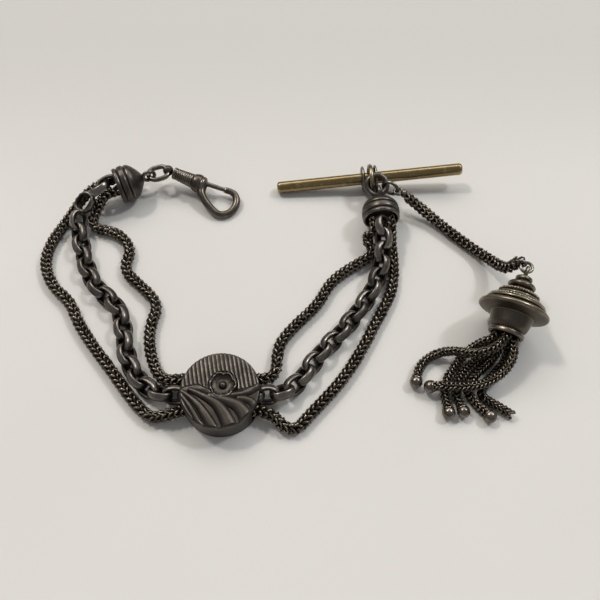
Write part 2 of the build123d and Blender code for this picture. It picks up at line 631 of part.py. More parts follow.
gate_pivot = hook_plane.from_local_coords(Vector(*GATE_PIVOT))
gate_plane = Plane(origin=gate_pivot, z_dir=hook_plane.z_dir,
                   x_dir=hook_plane.from_local_coords(Vector(*HOOK_NOSE)) - gate_pivot)
with BuildPart() as swivel_gate:
    with BuildSketch(gate_plane):
        Circle(GATE_WIDTH / 2)
        with Locations((0, 0)):
            Rectangle(GATE_LENGTH, GATE_WIDTH, align=(Align.MIN, Align.CENTER))
        Circle(GATE_PIN_RADIUS + SHANK_PLAY, mode=Mode.SUBTRACT)
    extrude(amount=GATE_WIDTH / 2, both=True)
save(swivel_gate.part, "swivel_gate")

with BuildPart() as gate_pin:
    with BuildSketch(gate_plane):
        Circle(GATE_PIN_RADIUS)
    extrude(amount=sqrt(COLLAR_RADIUS**2 - GATE_PIVOT[1]**2) - 0.05, both=True)
save(gate_pin.part, "gate_pin")

# The leaf spring lies in the barrel's cavity and ends behind the gate's root.
with BuildPart() as gate_spring:
    with BuildSketch(hook_plane):
        with Locations((0, 0.3)):
            Rectangle(SPRING_LENGTH, SPRING_THICK, align=(Align.MAX, Align.CENTER))
    extrude(amount=SPRING_WIDTH / 2, both=True)
save(gate_spring.part, "gate_spring")


# ================================================================== T-bar and its rings
bar_along = heading(BAR_TURN, -BAR_TILT)
bar_seat = seat_plane((*BAR_CENTRE, BAR_Z), bar_along)
with BuildPart() as t_bar:
    with BuildSketch(bar_seat):
        Circle(BAR_RADIUS)
    extrude(amount=BAR_LENGTH / 2, both=True)
    chamfer(t_bar.edges().filter_by(GeomType.CIRCLE), BAR_TIP_CHAMFER)
save(t_bar.part, "t_bar")

for name, side in (("bar_collar_left", -1), ("bar_collar_right", 1)):
    with BuildPart() as bar_collar:
        with BuildSketch(bar_seat.offset(side * BAR_COLLAR_SPACING / 2)):
            Circle(BAR_COLLAR_RADIUS)
            Circle(BAR_RADIUS, mode=Mode.SUBTRACT)
        extrude(amount=BAR_COLLAR_LENGTH / 2, both=True)
        rims = bar_collar.edges().filter_by(GeomType.CIRCLE).group_by(SortBy.RADIUS)[-1]
        chamfer(rims, BAR_COLLAR_LENGTH / 4)
    save(bar_collar.part, name)

# The bar ring hangs forward off the bar, between the collars, and stands on the surface.
bar_ring_centre = Vector(*BAR_CENTRE, BAR_Z) + Vector(BAR_RING_SHIFT, -BAR_RING_HANG, 0)
bar_ring_centre.Z = BAR_RING_RADIUS + BAR_RING_WIRE / 2 + LIE
save(wire_ring(bar_ring_centre, bar_along, BAR_RING_RADIUS, BAR_RING_WIRE), "bar_ring")

right_eye = right_cap_seat.origin + right_cap_seat.z_dir * (CAP_LENGTH + EYE_RADIUS)
jump_ring_centre = right_eye + Vector(*JUMP_RING_PLACE)
jump_ring_axis = Vector(0, -sin(radians(JUMP_RING_TILT)), cos(radians(JUMP_RING_TILT)))
save(wire_ring(jump_ring_centre, jump_ring_axis, JUMP_RING_RADIUS, JUMP_RING_WIRE), "jump_ring")

# The tassel chain's top ring hangs off the jump ring's right side, in an upright plane.
top_ring_along = heading(TOP_RING_TURN)
top_ring_centre = jump_ring_centre + Vector(*TOP_RING_PLACE)
save(wire_ring(top_ring_centre, top_ring_along.cross(Vector(0, 0, 1)), TOP_RING_RADIUS, TOP_RING_WIRE),
     "tassel_top_ring")


# ================================================================== tassel head
head_along = heading(HEAD_TURN, HEAD_TILT)
flange_reach = STEM_LENGTH + BEADED_LENGTH + UPPER_DISC_LENGTH + LOWER_DISC_LENGTH / 2
HEAD_Z = LOWER_DISC_RADIUS * cos(radians(HEAD_TILT)) + flange_reach * sin(radians(HEAD_TILT)) + LIE + 0.1
head_seat = seat_plane((*HEAD_TOP, HEAD_Z), head_along)


def from_head(x, y, z):
    """Place that follows the tassel head: across from its top, and above the surface."""
    return HEAD_TOP[0] + x, HEAD_TOP[1] + y, z


def head_piece(*outline):
    """Turned piece of the tassel head. Each place of its half outline is (along the axis, out from it)."""
    with BuildPart() as turned:
        with BuildSketch(turning_plane(head_seat)):
            with BuildLine():
                Polyline(*outline, close=True)
            make_face()
        revolve(axis=axis_of(head_seat))
    return turned.part


beaded_start = STEM_LENGTH
upper_start = beaded_start + BEADED_LENGTH
lower_start = upper_start + UPPER_DISC_LENGTH
cup_start = lower_start + LOWER_DISC_LENGTH
cup_end = cup_start + CUP_LENGTH

# The stem has a knop round it and ends in a wire eye.
head_eye = head_seat.origin - head_along * HEAD_EYE_RADIUS
eye_plane = Plane(origin=head_eye, z_dir=head_seat.x_dir)
with BuildPart() as stem_eye:
    with BuildSketch(turning_plane(eye_plane)):
        with Locations((0, HEAD_EYE_RADIUS)):
            RegularPolygon(HEAD_EYE_WIRE / 2, WIRE_SIDES)
    revolve(axis=axis_of(eye_plane))
knop_end = KNOP_START + KNOP_LENGTH
stem_body = head_piece(
    (0, 0), (0, STEM_TOP_RADIUS), (STEM_CHAMFER, STEM_RADIUS), (KNOP_START, STEM_RADIUS),
    (KNOP_START + KNOP_LENGTH / 4, KNOP_RADIUS), (knop_end - KNOP_LENGTH / 4, KNOP_RADIUS),
    (knop_end, STEM_RADIUS), (beaded_start, STEM_FOOT_RADIUS), (beaded_start, 0),
)
save(stem_body + stem_eye.part, "tassel_stem")

beaded_ring = head_piece(
    (beaded_start, 0), (beaded_start, BEADED_RADIUS - BEADED_LENGTH / 2), (upper_start, BEADED_RADIUS),
    (upper_start, 0),
)
save(beaded_ring, "tassel_beaded_ring")

upper_disc = head_piece(
    (upper_start, 0), (upper_start, BEADED_RADIUS + BEADED_LEDGE),
    (upper_start + UPPER_DISC_LENGTH / 2, UPPER_DISC_SHOULDER),
    (lower_start - UPPER_DISC_LENGTH / 3, UPPER_DISC_RADIUS),
    (lower_start - UPPER_DISC_LENGTH / 6, UPPER_DISC_RADIUS),
    (lower_start, UPPER_DISC_RADIUS - DISC_LIP), (lower_start, 0),
)
save(upper_disc, "tassel_upper_disc")

lower_disc = head_piece(
    (lower_start, 0), (lower_start, LOWER_DISC_RADIUS - DISC_LIP),
    (lower_start + LOWER_DISC_LENGTH / 3, LOWER_DISC_RADIUS),
    (cup_start - LOWER_DISC_LENGTH / 3, LOWER_DISC_RADIUS),
    (cup_start, LOWER_DISC_RADIUS - 2 * DISC_LIP), (cup_start, 0),
)
save(lower_disc, "tassel_lower_disc")

cup_bore = CUP_MOUTH_RADIUS - CUP_WALL
cup = head_piece(
    (cup_start, 0), (cup_start, CUP_TOP_RADIUS), (cup_start + CUP_LENGTH / 6, CUP_RADIUS + CUP_WALL),
    (cup_start + CUP_LENGTH / 3, CUP_RADIUS), (cup_start + CUP_LENGTH / 2, CUP_RADIUS - CUP_WALL / 2),
    (cup_end - CUP_RIM_LENGTH, CUP_MOUTH_RADIUS), (cup_end, CUP_MOUTH_RADIUS), (cup_end, cup_bore),
    (cup_end - CUP_CAVITY, cup_bore), (cup_end - CUP_CAVITY, 0),
)
save(cup, "tassel_cup")
cup_mouth = head_seat.origin + head_along * cup_end

lower_ring_centre = head_eye + heading(LOWER_RING_TURN) * LOWER_RING_RADIUS
save(wire_ring(lower_ring_centre, (0, 0, 1), LOWER_RING_RADIUS, LOWER_RING_WIRE), "tassel_lower_ring")


# ================================================================== tassel chain
# A level loop holds the top ring, an upright loop the lower ring.
top_loop_along = heading(TOP_LOOP_TURN)
lower_loop_along = heading(LOWER_LOOP_TURN)
top_loop_centre = top_ring_centre + top_ring_along * TOP_RING_RADIUS + top_loop_along * END_LOOP_SEAT
lower_loop_centre = lower_ring_centre + lower_loop_along * (LOWER_RING_RADIUS + END_LOOP_SEAT)
TASSEL_CHAIN = [
    tuple(top_loop_centre + top_loop_along * END_LOOP_RADIUS), (38.7, 42.2, 3.0),
    (42.5, 39.6, 1.3), (46.6, 35.8, WOVEN_Z), from_head(-6.4, 10.3, 2.4), from_head(-3.4, 6.9, 5.2),
    tuple(lower_loop_centre + lower_loop_along * END_LOOP_RADIUS),
]
chain_upper, chain_rest = parted(TASSEL_CHAIN, CHAIN_UPPER_FLEX_RUN)
chain_middle, chain_lower = parted(chain_rest, CHAIN_LOWER_FLEX_RUN)


def looped_strand(points, name, loop_centre, loop_axis):
    """Woven strand with its end loop."""
    route = route_of(points)
    loop_seat = Plane(origin=loop_centre, z_dir=loop_axis)
    with BuildPart() as run:
        with BuildSketch(level_plane(route @ 0, route % 0)):
            RegularPolygon(WOVEN_WIDTH / 2, WOVEN_SIDES, major_radius=False, rotation=180 / WOVEN_SIDES)
        sweep(path=route)
        with BuildSketch(turning_plane(loop_seat)):
            with Locations((0, END_LOOP_RADIUS)):
                RegularPolygon(END_LOOP_WIRE / 2, WIRE_SIDES)
        revolve(axis=axis_of(loop_seat))
    save(run.part, name)


looped_strand(chain_upper, "tassel_chain_upper", top_loop_centre, (0, 0, 1))
save(strand(chain_middle, WOVEN_WIDTH, WOVEN_SIDES), "tassel_chain_middle")
looped_strand(chain_lower, "tassel_chain_lower", lower_loop_centre, lower_loop_along.cross(Vector(0, 0, 1)))


# ================================================================== fringe
def in_mouth(angle):
    """Start of a fringe strand inside the cup's mouth, and the place where it has left the mouth."""
    out = head_seat.x_dir * -cos(radians(angle)) + head_seat.y_dir * -sin(radians(angle))
    place = cup_mouth + out * FRINGE_CIRCLE
    return [tuple(place - head_along * FRINGE_ENTRY), tuple(place + head_along * FRINGE_LEAD)]


# Angle in the mouth, from the right upwards, and the route from there, each place across from the head's
# top and above the surface. The last place is the ball's middle.
FRINGE = [
    (90, [(-7.6, -14.0, 6.0), (-10.6, -14.2, 4.5), (-13.2, -12.9, 2.9), (-15.8, -12.5, 1.5),
          (-18.6, -13.7, FRINGE_Z), (-20.4, -15.9, FRINGE_Z), (-21.0, -18.4, BALL_Z)]),
    (150, [(-9.0, -11.8, 4.2), (-11.5, -12.9, 1.6), (-13.1, -15.0, FRINGE_Z), (-14.9, -17.3, FRINGE_Z),
           (-15.9, -19.7, FRINGE_Z), (-15.8, -21.9, FRINGE_Z), (-15.6, -24.3, BALL_Z)]),
    (210, [(-7.8, -13.2, 1.7), (-10.2, -14.7, FRINGE_Z), (-12.0, -16.7, FRINGE_Z), (-13.5, -18.9, FRINGE_Z),
           (-13.8, -20.7, FRINGE_Z), (-13.4, -22.2, FRINGE_Z), (-12.9, -24.1, BALL_Z)]),
    (30, [(-3.3, -14.1, 5.0), (-4.2, -16.3, 3.5), (-6.8, -18.4, FRINGE_CROSS_Z + 0.2),
          (-9.8, -19.7, FRINGE_CROSS_Z + 0.1), (-13.0, -19.95, FRINGE_CROSS_Z),
          (-15.2, -19.8, FRINGE_CROSS_Z), (-16.9, -19.6, 2.5), (-18.6, -19.5, 1.75)]),
    (270, [(-6.2, -13.9, 1.3), (-8.6, -15.8, FRINGE_Z), (-10.6, -17.9, FRINGE_Z), (-11.6, -19.8, FRINGE_Z),
           (-11.0, -21.7, FRINGE_Z), (-9.8, -23.3, FRINGE_Z), (-8.2, -25.0, BALL_Z)]),
    (330, [(-4.2, -14.7, 1.6), (-6.4, -17.0, FRINGE_Z), (-8.4, -18.9, FRINGE_Z), (-9.2, -20.5, FRINGE_Z),
           (-8.2, -21.9, FRINGE_Z), (-6.5, -23.0, FRINGE_Z), (-4.8, -24.2, FRINGE_Z)]),
]
BARE_STRAND = 6            # the strand that has lost its ball

ball_seats = []
for number, (angle, places) in enumerate(FRINGE, start=1):
    route_places = in_mouth(angle) + [from_head(*place) for place in places]
    if number != BARE_STRAND:
        ball_middle_place = Vector(*route_places[-1])
        arrival = (ball_middle_place - Vector(*route_places[-2])).normalized()
        strand_end = ball_middle_place - arrival * (FRINGE_BALL_RADIUS - BALL_SOCKET)
        route_places[-1] = tuple(strand_end)
        ball_seats.append((ball_middle_place, Plane(origin=strand_end, z_dir=arrival * -1)))
    save(strand(route_places, FRINGE_WIDTH, FRINGE_SIDES), f"fringe_strand_{number}")

socket_radius = FRINGE_WIDTH / 2 / cos(radians(180 / FRINGE_SIDES)) + SOCKET_PLAY

# Balls at the strands' ends, turned in flat bands, each with the socket that its strand sits in.
with BuildPart() as balls:
    for middle, socket in ball_seats:
        ball_seat = Plane(origin=middle, z_dir=socket.z_dir)
        with BuildSketch(turning_plane(ball_seat)):
            with BuildLine():
                Polyline(*banded_arc(FRINGE_BALL_RADIUS, 180, BALL_BANDS), close=True)
            make_face()
        revolve(axis=axis_of(ball_seat))
        with BuildSketch(socket.offset(-SOCKET_PLAY)):
            Circle(socket_radius)
        extrude(amount=FRINGE_BALL_RADIUS, mode=Mode.SUBTRACT)
save(balls.part, "fringe_balls")
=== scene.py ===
"""Looks of a lady's three-strand watch chain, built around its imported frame.

Lengths in the classes are millimetres; the meshes are made in metres, in the frame's own axes. Seats and
hinges come from the frame's joints, rings and chain links from the frame's nodes.
"""
from __future__ import annotations

import json
import logging
import math
from collections.abc import Callable, Sequence
from dataclasses import dataclass, field
from enum import Enum

import bmesh
import bpy
import numpy as np
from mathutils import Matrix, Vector, kdtree

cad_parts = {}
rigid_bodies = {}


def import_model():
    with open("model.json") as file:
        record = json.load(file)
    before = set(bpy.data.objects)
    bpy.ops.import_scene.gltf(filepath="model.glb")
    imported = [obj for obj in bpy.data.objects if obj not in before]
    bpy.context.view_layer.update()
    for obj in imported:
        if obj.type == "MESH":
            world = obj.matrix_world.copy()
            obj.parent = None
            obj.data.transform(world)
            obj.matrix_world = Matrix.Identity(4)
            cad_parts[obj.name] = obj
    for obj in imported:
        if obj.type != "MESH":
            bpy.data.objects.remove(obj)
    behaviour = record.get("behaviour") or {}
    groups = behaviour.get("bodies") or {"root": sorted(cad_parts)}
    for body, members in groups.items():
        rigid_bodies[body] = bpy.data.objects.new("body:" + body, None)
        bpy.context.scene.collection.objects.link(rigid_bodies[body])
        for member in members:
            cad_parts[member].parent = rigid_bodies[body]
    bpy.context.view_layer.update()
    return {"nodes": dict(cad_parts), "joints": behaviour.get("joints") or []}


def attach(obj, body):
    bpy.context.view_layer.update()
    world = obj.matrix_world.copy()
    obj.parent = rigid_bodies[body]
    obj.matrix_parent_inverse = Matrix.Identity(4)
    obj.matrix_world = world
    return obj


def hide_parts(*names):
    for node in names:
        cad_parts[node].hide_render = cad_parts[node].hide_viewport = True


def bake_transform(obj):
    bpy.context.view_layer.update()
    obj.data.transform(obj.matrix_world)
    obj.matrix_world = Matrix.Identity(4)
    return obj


LOG = logging.getLogger("watch_chain")
MM = 0.001
UP = Vector((0, 0, 1))
Place = tuple[float, float, float]
Corner = tuple[float, float, float]
Colour = tuple[float, float, float]


class Attribute(str, Enum):
    """Names of the point attributes that the finishes read."""

    WEAR = "wear"
    TONE = "tone"


# ================================================================== node graphs
class Signal:
    """An output socket that takes part in Python expressions on numbers."""

    def __init__(self, graph: Graph, socket: bpy.types.NodeSocket) -> None:
        """Wrap a socket of a graph."""
        self.graph = graph
        self.socket = socket

    def __add__(self, other: Signal | float) -> Signal:
        """Sum."""
        return self.graph.maths("ADD", self, other)

    def __sub__(self, other: Signal | float) -> Signal:
        """Difference."""
        return self.graph.maths("SUBTRACT", self, other)

    def __rsub__(self, other: float) -> Signal:
        """Difference from a number."""
        return self.graph.maths("SUBTRACT", other, self)

    def __mul__(self, other: Signal | float) -> Signal:
        """Product."""
        return self.graph.maths("MULTIPLY", self, other)

    __radd__ = __add__
    __rmul__ = __mul__

    def stepped(self, low: float, high: float) -> Signal:
        """Smooth step from 0 at low to 1 at high.

        Args:
            low: Value where the step starts.
            high: Value where it ends.

        Returns:
            The step.
        """
        return self.graph.signal(
            "ShaderNodeMapRange",
            {"interpolation_type": "SMOOTHSTEP"},
            {"Value": self, "From Min": low, "From Max": high},
        )


class Graph:
    """A node tree with one way to add a node."""

    def __init__(self, tree: bpy.types.NodeTree) -> None:
        """Start from an empty tree."""
        self.tree = tree
        tree.nodes.clear()

    def node(self, kind: str, settings: dict | None = None, inputs: dict | None = None) -> bpy.types.Node:
        """Add a node.

        Args:
            kind: The node's type.
            settings: Its properties, set before its sockets; "stops" are a ramp's (place, colour) pairs.
            inputs: Values or signals by the socket's name or number.

        Returns:
            The node.
        """
        made = self.tree.nodes.new(kind)
        for name, value in (settings or {}).items():
            if name == "stops":
                self._set_stops(made, value)
            else:
                setattr(made, name, value)
        for name, value in (inputs or {}).items():
            if isinstance(value, Signal):
                self.tree.links.new(value.socket, made.inputs[name])
            else:
                made.inputs[name].default_value = value
        return made

    def signal(
        self, kind: str, settings: dict | None = None, inputs: dict | None = None, output: str | int = 0
    ) -> Signal:
        """Add a node and return one of its outputs.

        Args:
            kind: The node's type.
            settings: Its properties.
            inputs: Values or signals by socket.
            output: The output's name or number.

        Returns:
            The output as a signal.
        """
        return Signal(self, self.node(kind, settings, inputs).outputs[output])

    def maths(self, operation: str, *operands: Signal | float) -> Signal:
        """Add a Math node on numbers."""
        return self.signal("ShaderNodeMath", {"operation": operation}, dict(enumerate(operands)))

    def mix(self, share: Signal, first: Signal | Colour, second: Signal | Colour) -> Signal:
        """Mix two colours.

        Args:
            share: Share of the second colour.
            first: The first colour.
            second: The second colour.

        Returns:
            The mixed colour.
        """
        colours = [c if isinstance(c, Signal) else (*c, 1.0) for c in (first, second)]
        inputs = {"Factor": share, 6: colours[0], 7: colours[1]}
        return self.signal("ShaderNodeMix", {"data_type": "RGBA"}, inputs, output=2)

    @staticmethod
    def _set_stops(ramp: bpy.types.Node, stops: Sequence[tuple[float, Colour]]) -> None:
        """Set the stops of a colour ramp.

        Args:
            ramp: The ramp's node.
            stops: Place and colour of each stop, in order.
        """
        elements = ramp.color_ramp.elements
        while len(elements) > 1:
            elements.remove(elements[-1])
        for number, (place, colour) in enumerate(stops):
            stop = elements[0] if number == 0 else elements.new(place)
            stop.position = place
            stop.color = (*colour, 1.0)


# ================================================================== finishes
@dataclass(frozen=True)
class MetalFinish:
    """Old metal: patina in its recesses, worn bright on its high places, fine scratches and soft dents.

    Attributes:
        name: Name of the material.
        slot: The record's material slot; not used.
        recess: Colour of the patina where nothing rubs.
        body: Colour of the open surface.
        bright: Colour of the worn places.
        roughness: Roughness of the open surface.
        worn_roughness: Roughness of the worn places.
        patina_size: Size of the patina's blotches, in millimetres.
        grain_size: Size of the finest pits and scratches, in millimetres.
        dents: Depth of the soft dents, in millimetres.
        stretch: How much the grain is drawn out along each axis of the object.
        reads_wear: Whether the piece carries the wear attribute.
        level_wear: Wear of a piece that doesn't carry it.
        metallic: Share of metal where the patina is thickest.
        blotching: How much the patina's blotches add to or take from the wear.
        graining: How much the grain does.
        tone_share: How much a link's own tone does.
        body_from: Wear at which the recess starts to turn into the open surface.
        bright_from: Wear at which the open surface starts to turn bright.
        pitting: Share of the fine grain in the relief.
    """

    name: str
    slot: str
    recess: Colour
    body: Colour
    bright: Colour
    roughness: float = 0.42
    worn_roughness: float = 0.26
    patina_size: float = 2.2
    grain_size: float = 0.16
    dents: float = 0.02
    stretch: Place = (1.0, 1.0, 1.0)
    reads_wear: bool = True
    level_wear: float = 0.45
    metallic: float = 0.75
    blotching: float = 0.55
    graining: float = 0.35
    tone_share: float = 0.3
    body_from: float = 0.12
    bright_from: float = 0.55
    pitting: float = 0.25

    def material(self) -> bpy.types.Material:
        """Return the material, made on first use."""
        return bpy.data.materials.get(self.name) or self._make()

    @staticmethod
    def _noise(graph: Graph, size: float, detail: float, stretch: Place = (1.0, 1.0, 1.0)) -> Signal:
        """Fractal noise with blotches of a size in millimetres.

        Args:
            graph: The material's graph.
            size: Size of the blotches.
            detail: Number of finer layers.
            stretch: Factor on each axis of the object.

        Returns:
            The noise, from 0 to 1.
        """
        coordinates = graph.signal("ShaderNodeTexCoord", output="Object")
        placed = graph.signal("ShaderNodeMapping", {}, {"Vector": coordinates, "Scale": stretch})
        inputs = {"Vector": placed, "Scale": 1 / (size * MM), "Detail": detail, "Roughness": 0.62}
        return graph.signal("ShaderNodeTexNoise", {}, inputs)

    @staticmethod
    def _attribute(graph: Graph, attribute: Attribute) -> Signal:
        """One of the piece's own point attributes."""
        settings = {"attribute_type": "GEOMETRY", "attribute_name": attribute.value}
        return graph.signal("ShaderNodeAttribute", settings, output="Fac")

    def _make(self) -> bpy.types.Material:
        """Build the material's nodes.

        Returns:
            The material.
        """
        material = bpy.data.materials.new(self.name)
        material.use_nodes = True
        graph = Graph(material.node_tree)
        patina = self._noise(graph, self.patina_size, 5.0)
        grain = self._noise(graph, self.grain_size, 3.0, self.stretch)
        soft = self._noise(graph, self.patina_size / 2, 2.0)
        wear: Signal | float = self.level_wear
        if self.reads_wear:
            wear = self._attribute(graph, Attribute.WEAR)
            wear = wear + self._attribute(graph, Attribute.TONE) * self.tone_share
        worn = wear + (patina - 0.5) * self.blotching + (grain - 0.5) * self.graining
        tint = graph.mix(worn.stepped(self.body_from, self.bright_from), self.recess, self.body)
        tint = graph.mix(worn.stepped(self.bright_from, 1.0), tint, self.bright)
        rough = self.roughness + (grain - 0.5) * 0.18 + (patina - 0.5) * 0.16
        span = self.roughness - self.worn_roughness
        rough = rough - worn.stepped(0.5, 1.0) * span
        metal = worn.stepped(0.0, 0.5) * (1 - self.metallic) + self.metallic
        relief = {"Strength": 0.55, "Distance": self.dents * MM, "Height": grain * self.pitting + soft}
        bump = graph.signal("ShaderNodeBump", {}, relief)
        inputs = {"Base Color": tint, "Roughness": rough, "Metallic": metal, "Normal": bump}
        shader = graph.signal("ShaderNodeBsdfPrincipled", {}, inputs)
        graph.node("ShaderNodeOutputMaterial", {}, {"Surface": shader})
        return material


OXIDISED = MetalFinish(
    "oxidised_silver", "dark_metal", (0.018, 0.014, 0.010), (0.066, 0.057, 0.049), (0.27, 0.245, 0.215)
)
OXIDISED_PLAIN = MetalFinish(
    "oxidised_silver_plain", "dark_metal", (0.018, 0.014, 0.010), (0.064, 0.053, 0.043), (0.24, 0.21, 0.175),
    reads_wear=False,
)
WOVEN = MetalFinish(
    "oxidised_silver_woven", "dark_metal",
    (0.036, 0.029, 0.022), (0.080, 0.065, 0.049), (0.235, 0.203, 0.160),
    roughness=0.40, patina_size=3.5, grain_size=0.12, dents=0.008,
)
RUBBED = MetalFinish(
    "rubbed_silver", "polished_metal", (0.022, 0.017, 0.013), (0.086, 0.071, 0.056), (0.31, 0.275, 0.23),
    roughness=0.34, worn_roughness=0.2,
)
RUBBED_PLAIN = MetalFinish(
    "rubbed_silver_plain", "polished_metal", (0.022, 0.017, 0.013), (0.090, 0.073, 0.056), (0.31, 0.27, 0.22),
    roughness=0.32, worn_roughness=0.2, reads_wear=False, level_wear=0.6,
)
PEWTER = MetalFinish(
    "warm_pewter", "pewter", (0.022, 0.017, 0.012), (0.100, 0.084, 0.064), (0.33, 0.285, 0.21),
    roughness=0.38, worn_roughness=0.26, patina_size=3.0,
)
AGED_BRASS = MetalFinish(
    "greened_brass", "aged_brass", (0.024, 0.019, 0.010), (0.105, 0.088, 0.050), (0.36, 0.31, 0.19),
    roughness=0.36,
)
BAR_BRASS = MetalFinish(
    "rubbed_bar_brass", "bar_brass", (0.062, 0.044, 0.020), (0.245, 0.182, 0.084), (0.80, 0.69, 0.47),
    roughness=0.25, worn_roughness=0.18, patina_size=1.6, grain_size=0.14, dents=0.006,
    stretch=(0.12, 1.0, 1.0), metallic=0.92,
)


# ================================================================== meshes
@dataclass(frozen=True)
class Seat:
    """Place and axes of a turned piece, in millimetres: its axis, and two directions across it."""

    origin: Vector
    along: Vector
    side: Vector
    over: Vector

    @classmethod
    def upon(cls, origin: Vector, along: Vector, level: Vector = UP) -> Seat:
        """Seat with its side square to the axis and to a level's upright.

        Args:
            origin: Its place.
            along: Its axis, of any length.
            level: The upright.

        Returns:
            The seat.
        """
        along = along.normalized()
        side = along.cross(level)
        side = side.normalized() if side.length > 1e-6 else Vector((1, 0, 0))
        return cls(origin.copy(), along, side, along.cross(side))

    def at(self, along: float, side: float = 0.0, over: float = 0.0) -> Vector:
        """Place in the frame of a place on the seat."""
        return self.origin + self.along * along + self.side * side + self.over * over

    def around(self, along: float, out: float, turn: float) -> Vector:
        """Place in the frame of a place turned about the axis, in radians."""
        return self.at(along, out * math.cos(turn), out * math.sin(turn))

    def shifted(self, along: float) -> Seat:
        """The same seat further along its axis."""
        return Seat(self.at(along), self.along, self.side, self.over)


def rounded(corners: Sequence[Corner], steps: int = 5) -> list[tuple[float, float]]:
    """Outline through corners, with each corner rounded.

    Args:
        corners: (along, out, rounding) of each corner; the first and last stay sharp.
        steps: Pieces in each rounding.

    Returns:
        (along, out) of each point of the outline.
    """
    outline = [corners[0][:2]]
    for before, here, after in zip(corners, corners[1:], corners[2:]):
        corner = Vector(here[:2])
        back = Vector(before[:2]) - corner
        ahead = Vector(after[:2]) - corner
        cut = min(here[2], 0.49 * back.length, 0.49 * ahead.length)
        if cut < 1e-4:
            outline.append(tuple(corner))
            continue
        start = corner + back.normalized() * cut
        end = corner + ahead.normalized() * cut
        for step in range(steps + 1):
            t = step / steps
            outline.append(tuple(start * (1 - t) ** 2 + corner * (2 * t * (1 - t)) + end * t**2))
    outline.append(corners[-1][:2])
    return outline


class Skin:
    """Points and faces of a surface, gathered as rings. Lengths are millimetres until it is built."""

    def __init__(self) -> None:
        """Start with nothing."""
        self.points: list[Vector] = []
        self.faces: list[tuple[int, ...]] = []

    def rings(self, rings: Sequence[Sequence[Vector]], closed: bool = False) -> Skin:
        """Join rings of points in a row; a ring of one point is a pole.

        Args:
            rings: The rings, of equal length apart from poles.
            closed: Whether the last ring joins the first.

        Returns:
            The skin itself.
        """
        starts = []
        for ring in rings:
            starts.append(len(self.points))
            self.points.extend(ring)
        count = len(rings)
        for a in range(count if closed else count - 1):
            b = (a + 1) % count
            sides = max(len(rings[a]), len(rings[b]))
            for i in range(sides):
                j = (i + 1) % sides
                low = [starts[a]] if len(rings[a]) == 1 else [starts[a] + i, starts[a] + j]
                high = [starts[b]] if len(rings[b]) == 1 else [starts[b] + j, starts[b] + i]
                self.faces.append(tuple(low + high))
        return self

    def turned(self, seat: Seat, outline: Sequence[tuple[float, float]], segments: int = 72) -> Skin:
        """Turn an outline of (along, out) points about a seat's axis.

        Args:
            seat: The axis.
            outline: The outline, in millimetres.
            segments: Steps round the axis.

        Returns:
            The skin itself.
        """
        rings = []
        for along, out in outline:
            if out < 1e-5:
                rings.append([seat.at(along)])
                continue
            rings.append([seat.around(along, out, math.tau * i / segments) for i in range(segments)])
        return self.rings(rings)

    def tube(
        self,
        path: Sequence[Vector],
        radius: float | Callable[[float], float],
        sides: int = 16,
        closed: bool = False,
        level: Vector = UP,
    ) -> Skin:
        """Round wire along a path, with domed ends if it is open.

        Args:
            path: Places along the wire's middle.
            radius: The wire's radius, or that as a function of the share of the path.
            sides: Sides of its section.
            closed: Whether the path closes on itself.
            level: Upright that the section keeps to.

        Returns:
            The skin itself.
        """
        size = radius if callable(radius) else lambda share: radius
        last = len(path) - 1
        rings = []
        for i, place in enumerate(path):
            ahead = path[(i + 1) % len(path)] if closed else path[min(i + 1, last)]
            behind = path[i - 1] if closed else path[max(i - 1, 0)]
            seat = Seat.upon(place, ahead - behind, level)
            wire = size(i / last)
            ring = [seat.around(0, wire, math.tau * k / sides) for k in range(sides)]
            if not closed and i in (0, last):
                out = -1 if i == 0 else 1
                dome = [
                    [seat.around(out * wire * 0.9 * math.sin(a), wire * math.cos(a), math.tau * k / sides)
                     for k in range(sides)]
                    for a in (math.radians(35), math.radians(65))
                ]
                dome.append([seat.at(out * wire * 0.92)])
                rings.extend([*reversed(dome), ring] if i == 0 else [ring, *dome])
            else:
                rings.append(ring)
        return self.rings(rings, closed)

    def wire_ring(self, seat: Seat, radius: float, wire: float, segments: int = 64, sides: int = 16) -> Skin:
        """Closed ring of round wire about a seat's axis."""
        path = [seat.around(0, radius, math.tau * i / segments) for i in range(segments)]
        return self.tube(path, wire / 2, sides, closed=True, level=seat.along)

    def mesh(self, name: str, wear_reach: float | None = 0.5) -> bpy.types.Mesh:
        """Build the mesh, in metres, its faces outwards.

        Args:
            name: The mesh's name.
            wear_reach: Size of the details that wear shows, in millimetres, or None for no wear.

        Returns:
            The mesh.
        """
        mesh = bpy.data.meshes.new(name)
        mesh.from_pydata([p * MM for p in self.points], [], self.faces)
        work = bmesh.new()
        work.from_mesh(mesh)
        bmesh.ops.remove_doubles(work, verts=work.verts, dist=1e-7)
        bmesh.ops.recalc_face_normals(work, faces=work.faces)
        work.to_mesh(mesh)
        work.free()
        mesh.shade_smooth()
        if wear_reach is not None:
            mark_wear(mesh, wear_reach)
        return mesh

    def piece(self, name: str, finish: MetalFinish, wear_reach: float | None = 0.5) -> bpy.types.Object:
        """Build the skin as an object in a finish."""
        return placed(self.mesh(name, wear_reach), name, finish)


def linked(name: str, data: bpy.types.ID) -> bpy.types.Object:
    """Put a mesh, curve, lamp or camera in the scene as an object at the origin.

    Args:
        name: Name of the object.
        data: Its data.

    Returns:
        The object.
    """
    made = bpy.data.objects.new(name, data)
    bpy.context.scene.collection.objects.link(made)
    return made


def placed(mesh: bpy.types.Mesh, name: str, finish: MetalFinish) -> bpy.types.Object:
    """Put a mesh in the scene as a piece in a finish.

    Args:
        mesh: The mesh, in metres.
        name: Name of the piece.
        finish: Its finish.

    Returns:
        The piece.
    """
    made = linked(name, mesh)
    mesh.materials.clear()
    mesh.materials.append(finish.material())
    return made


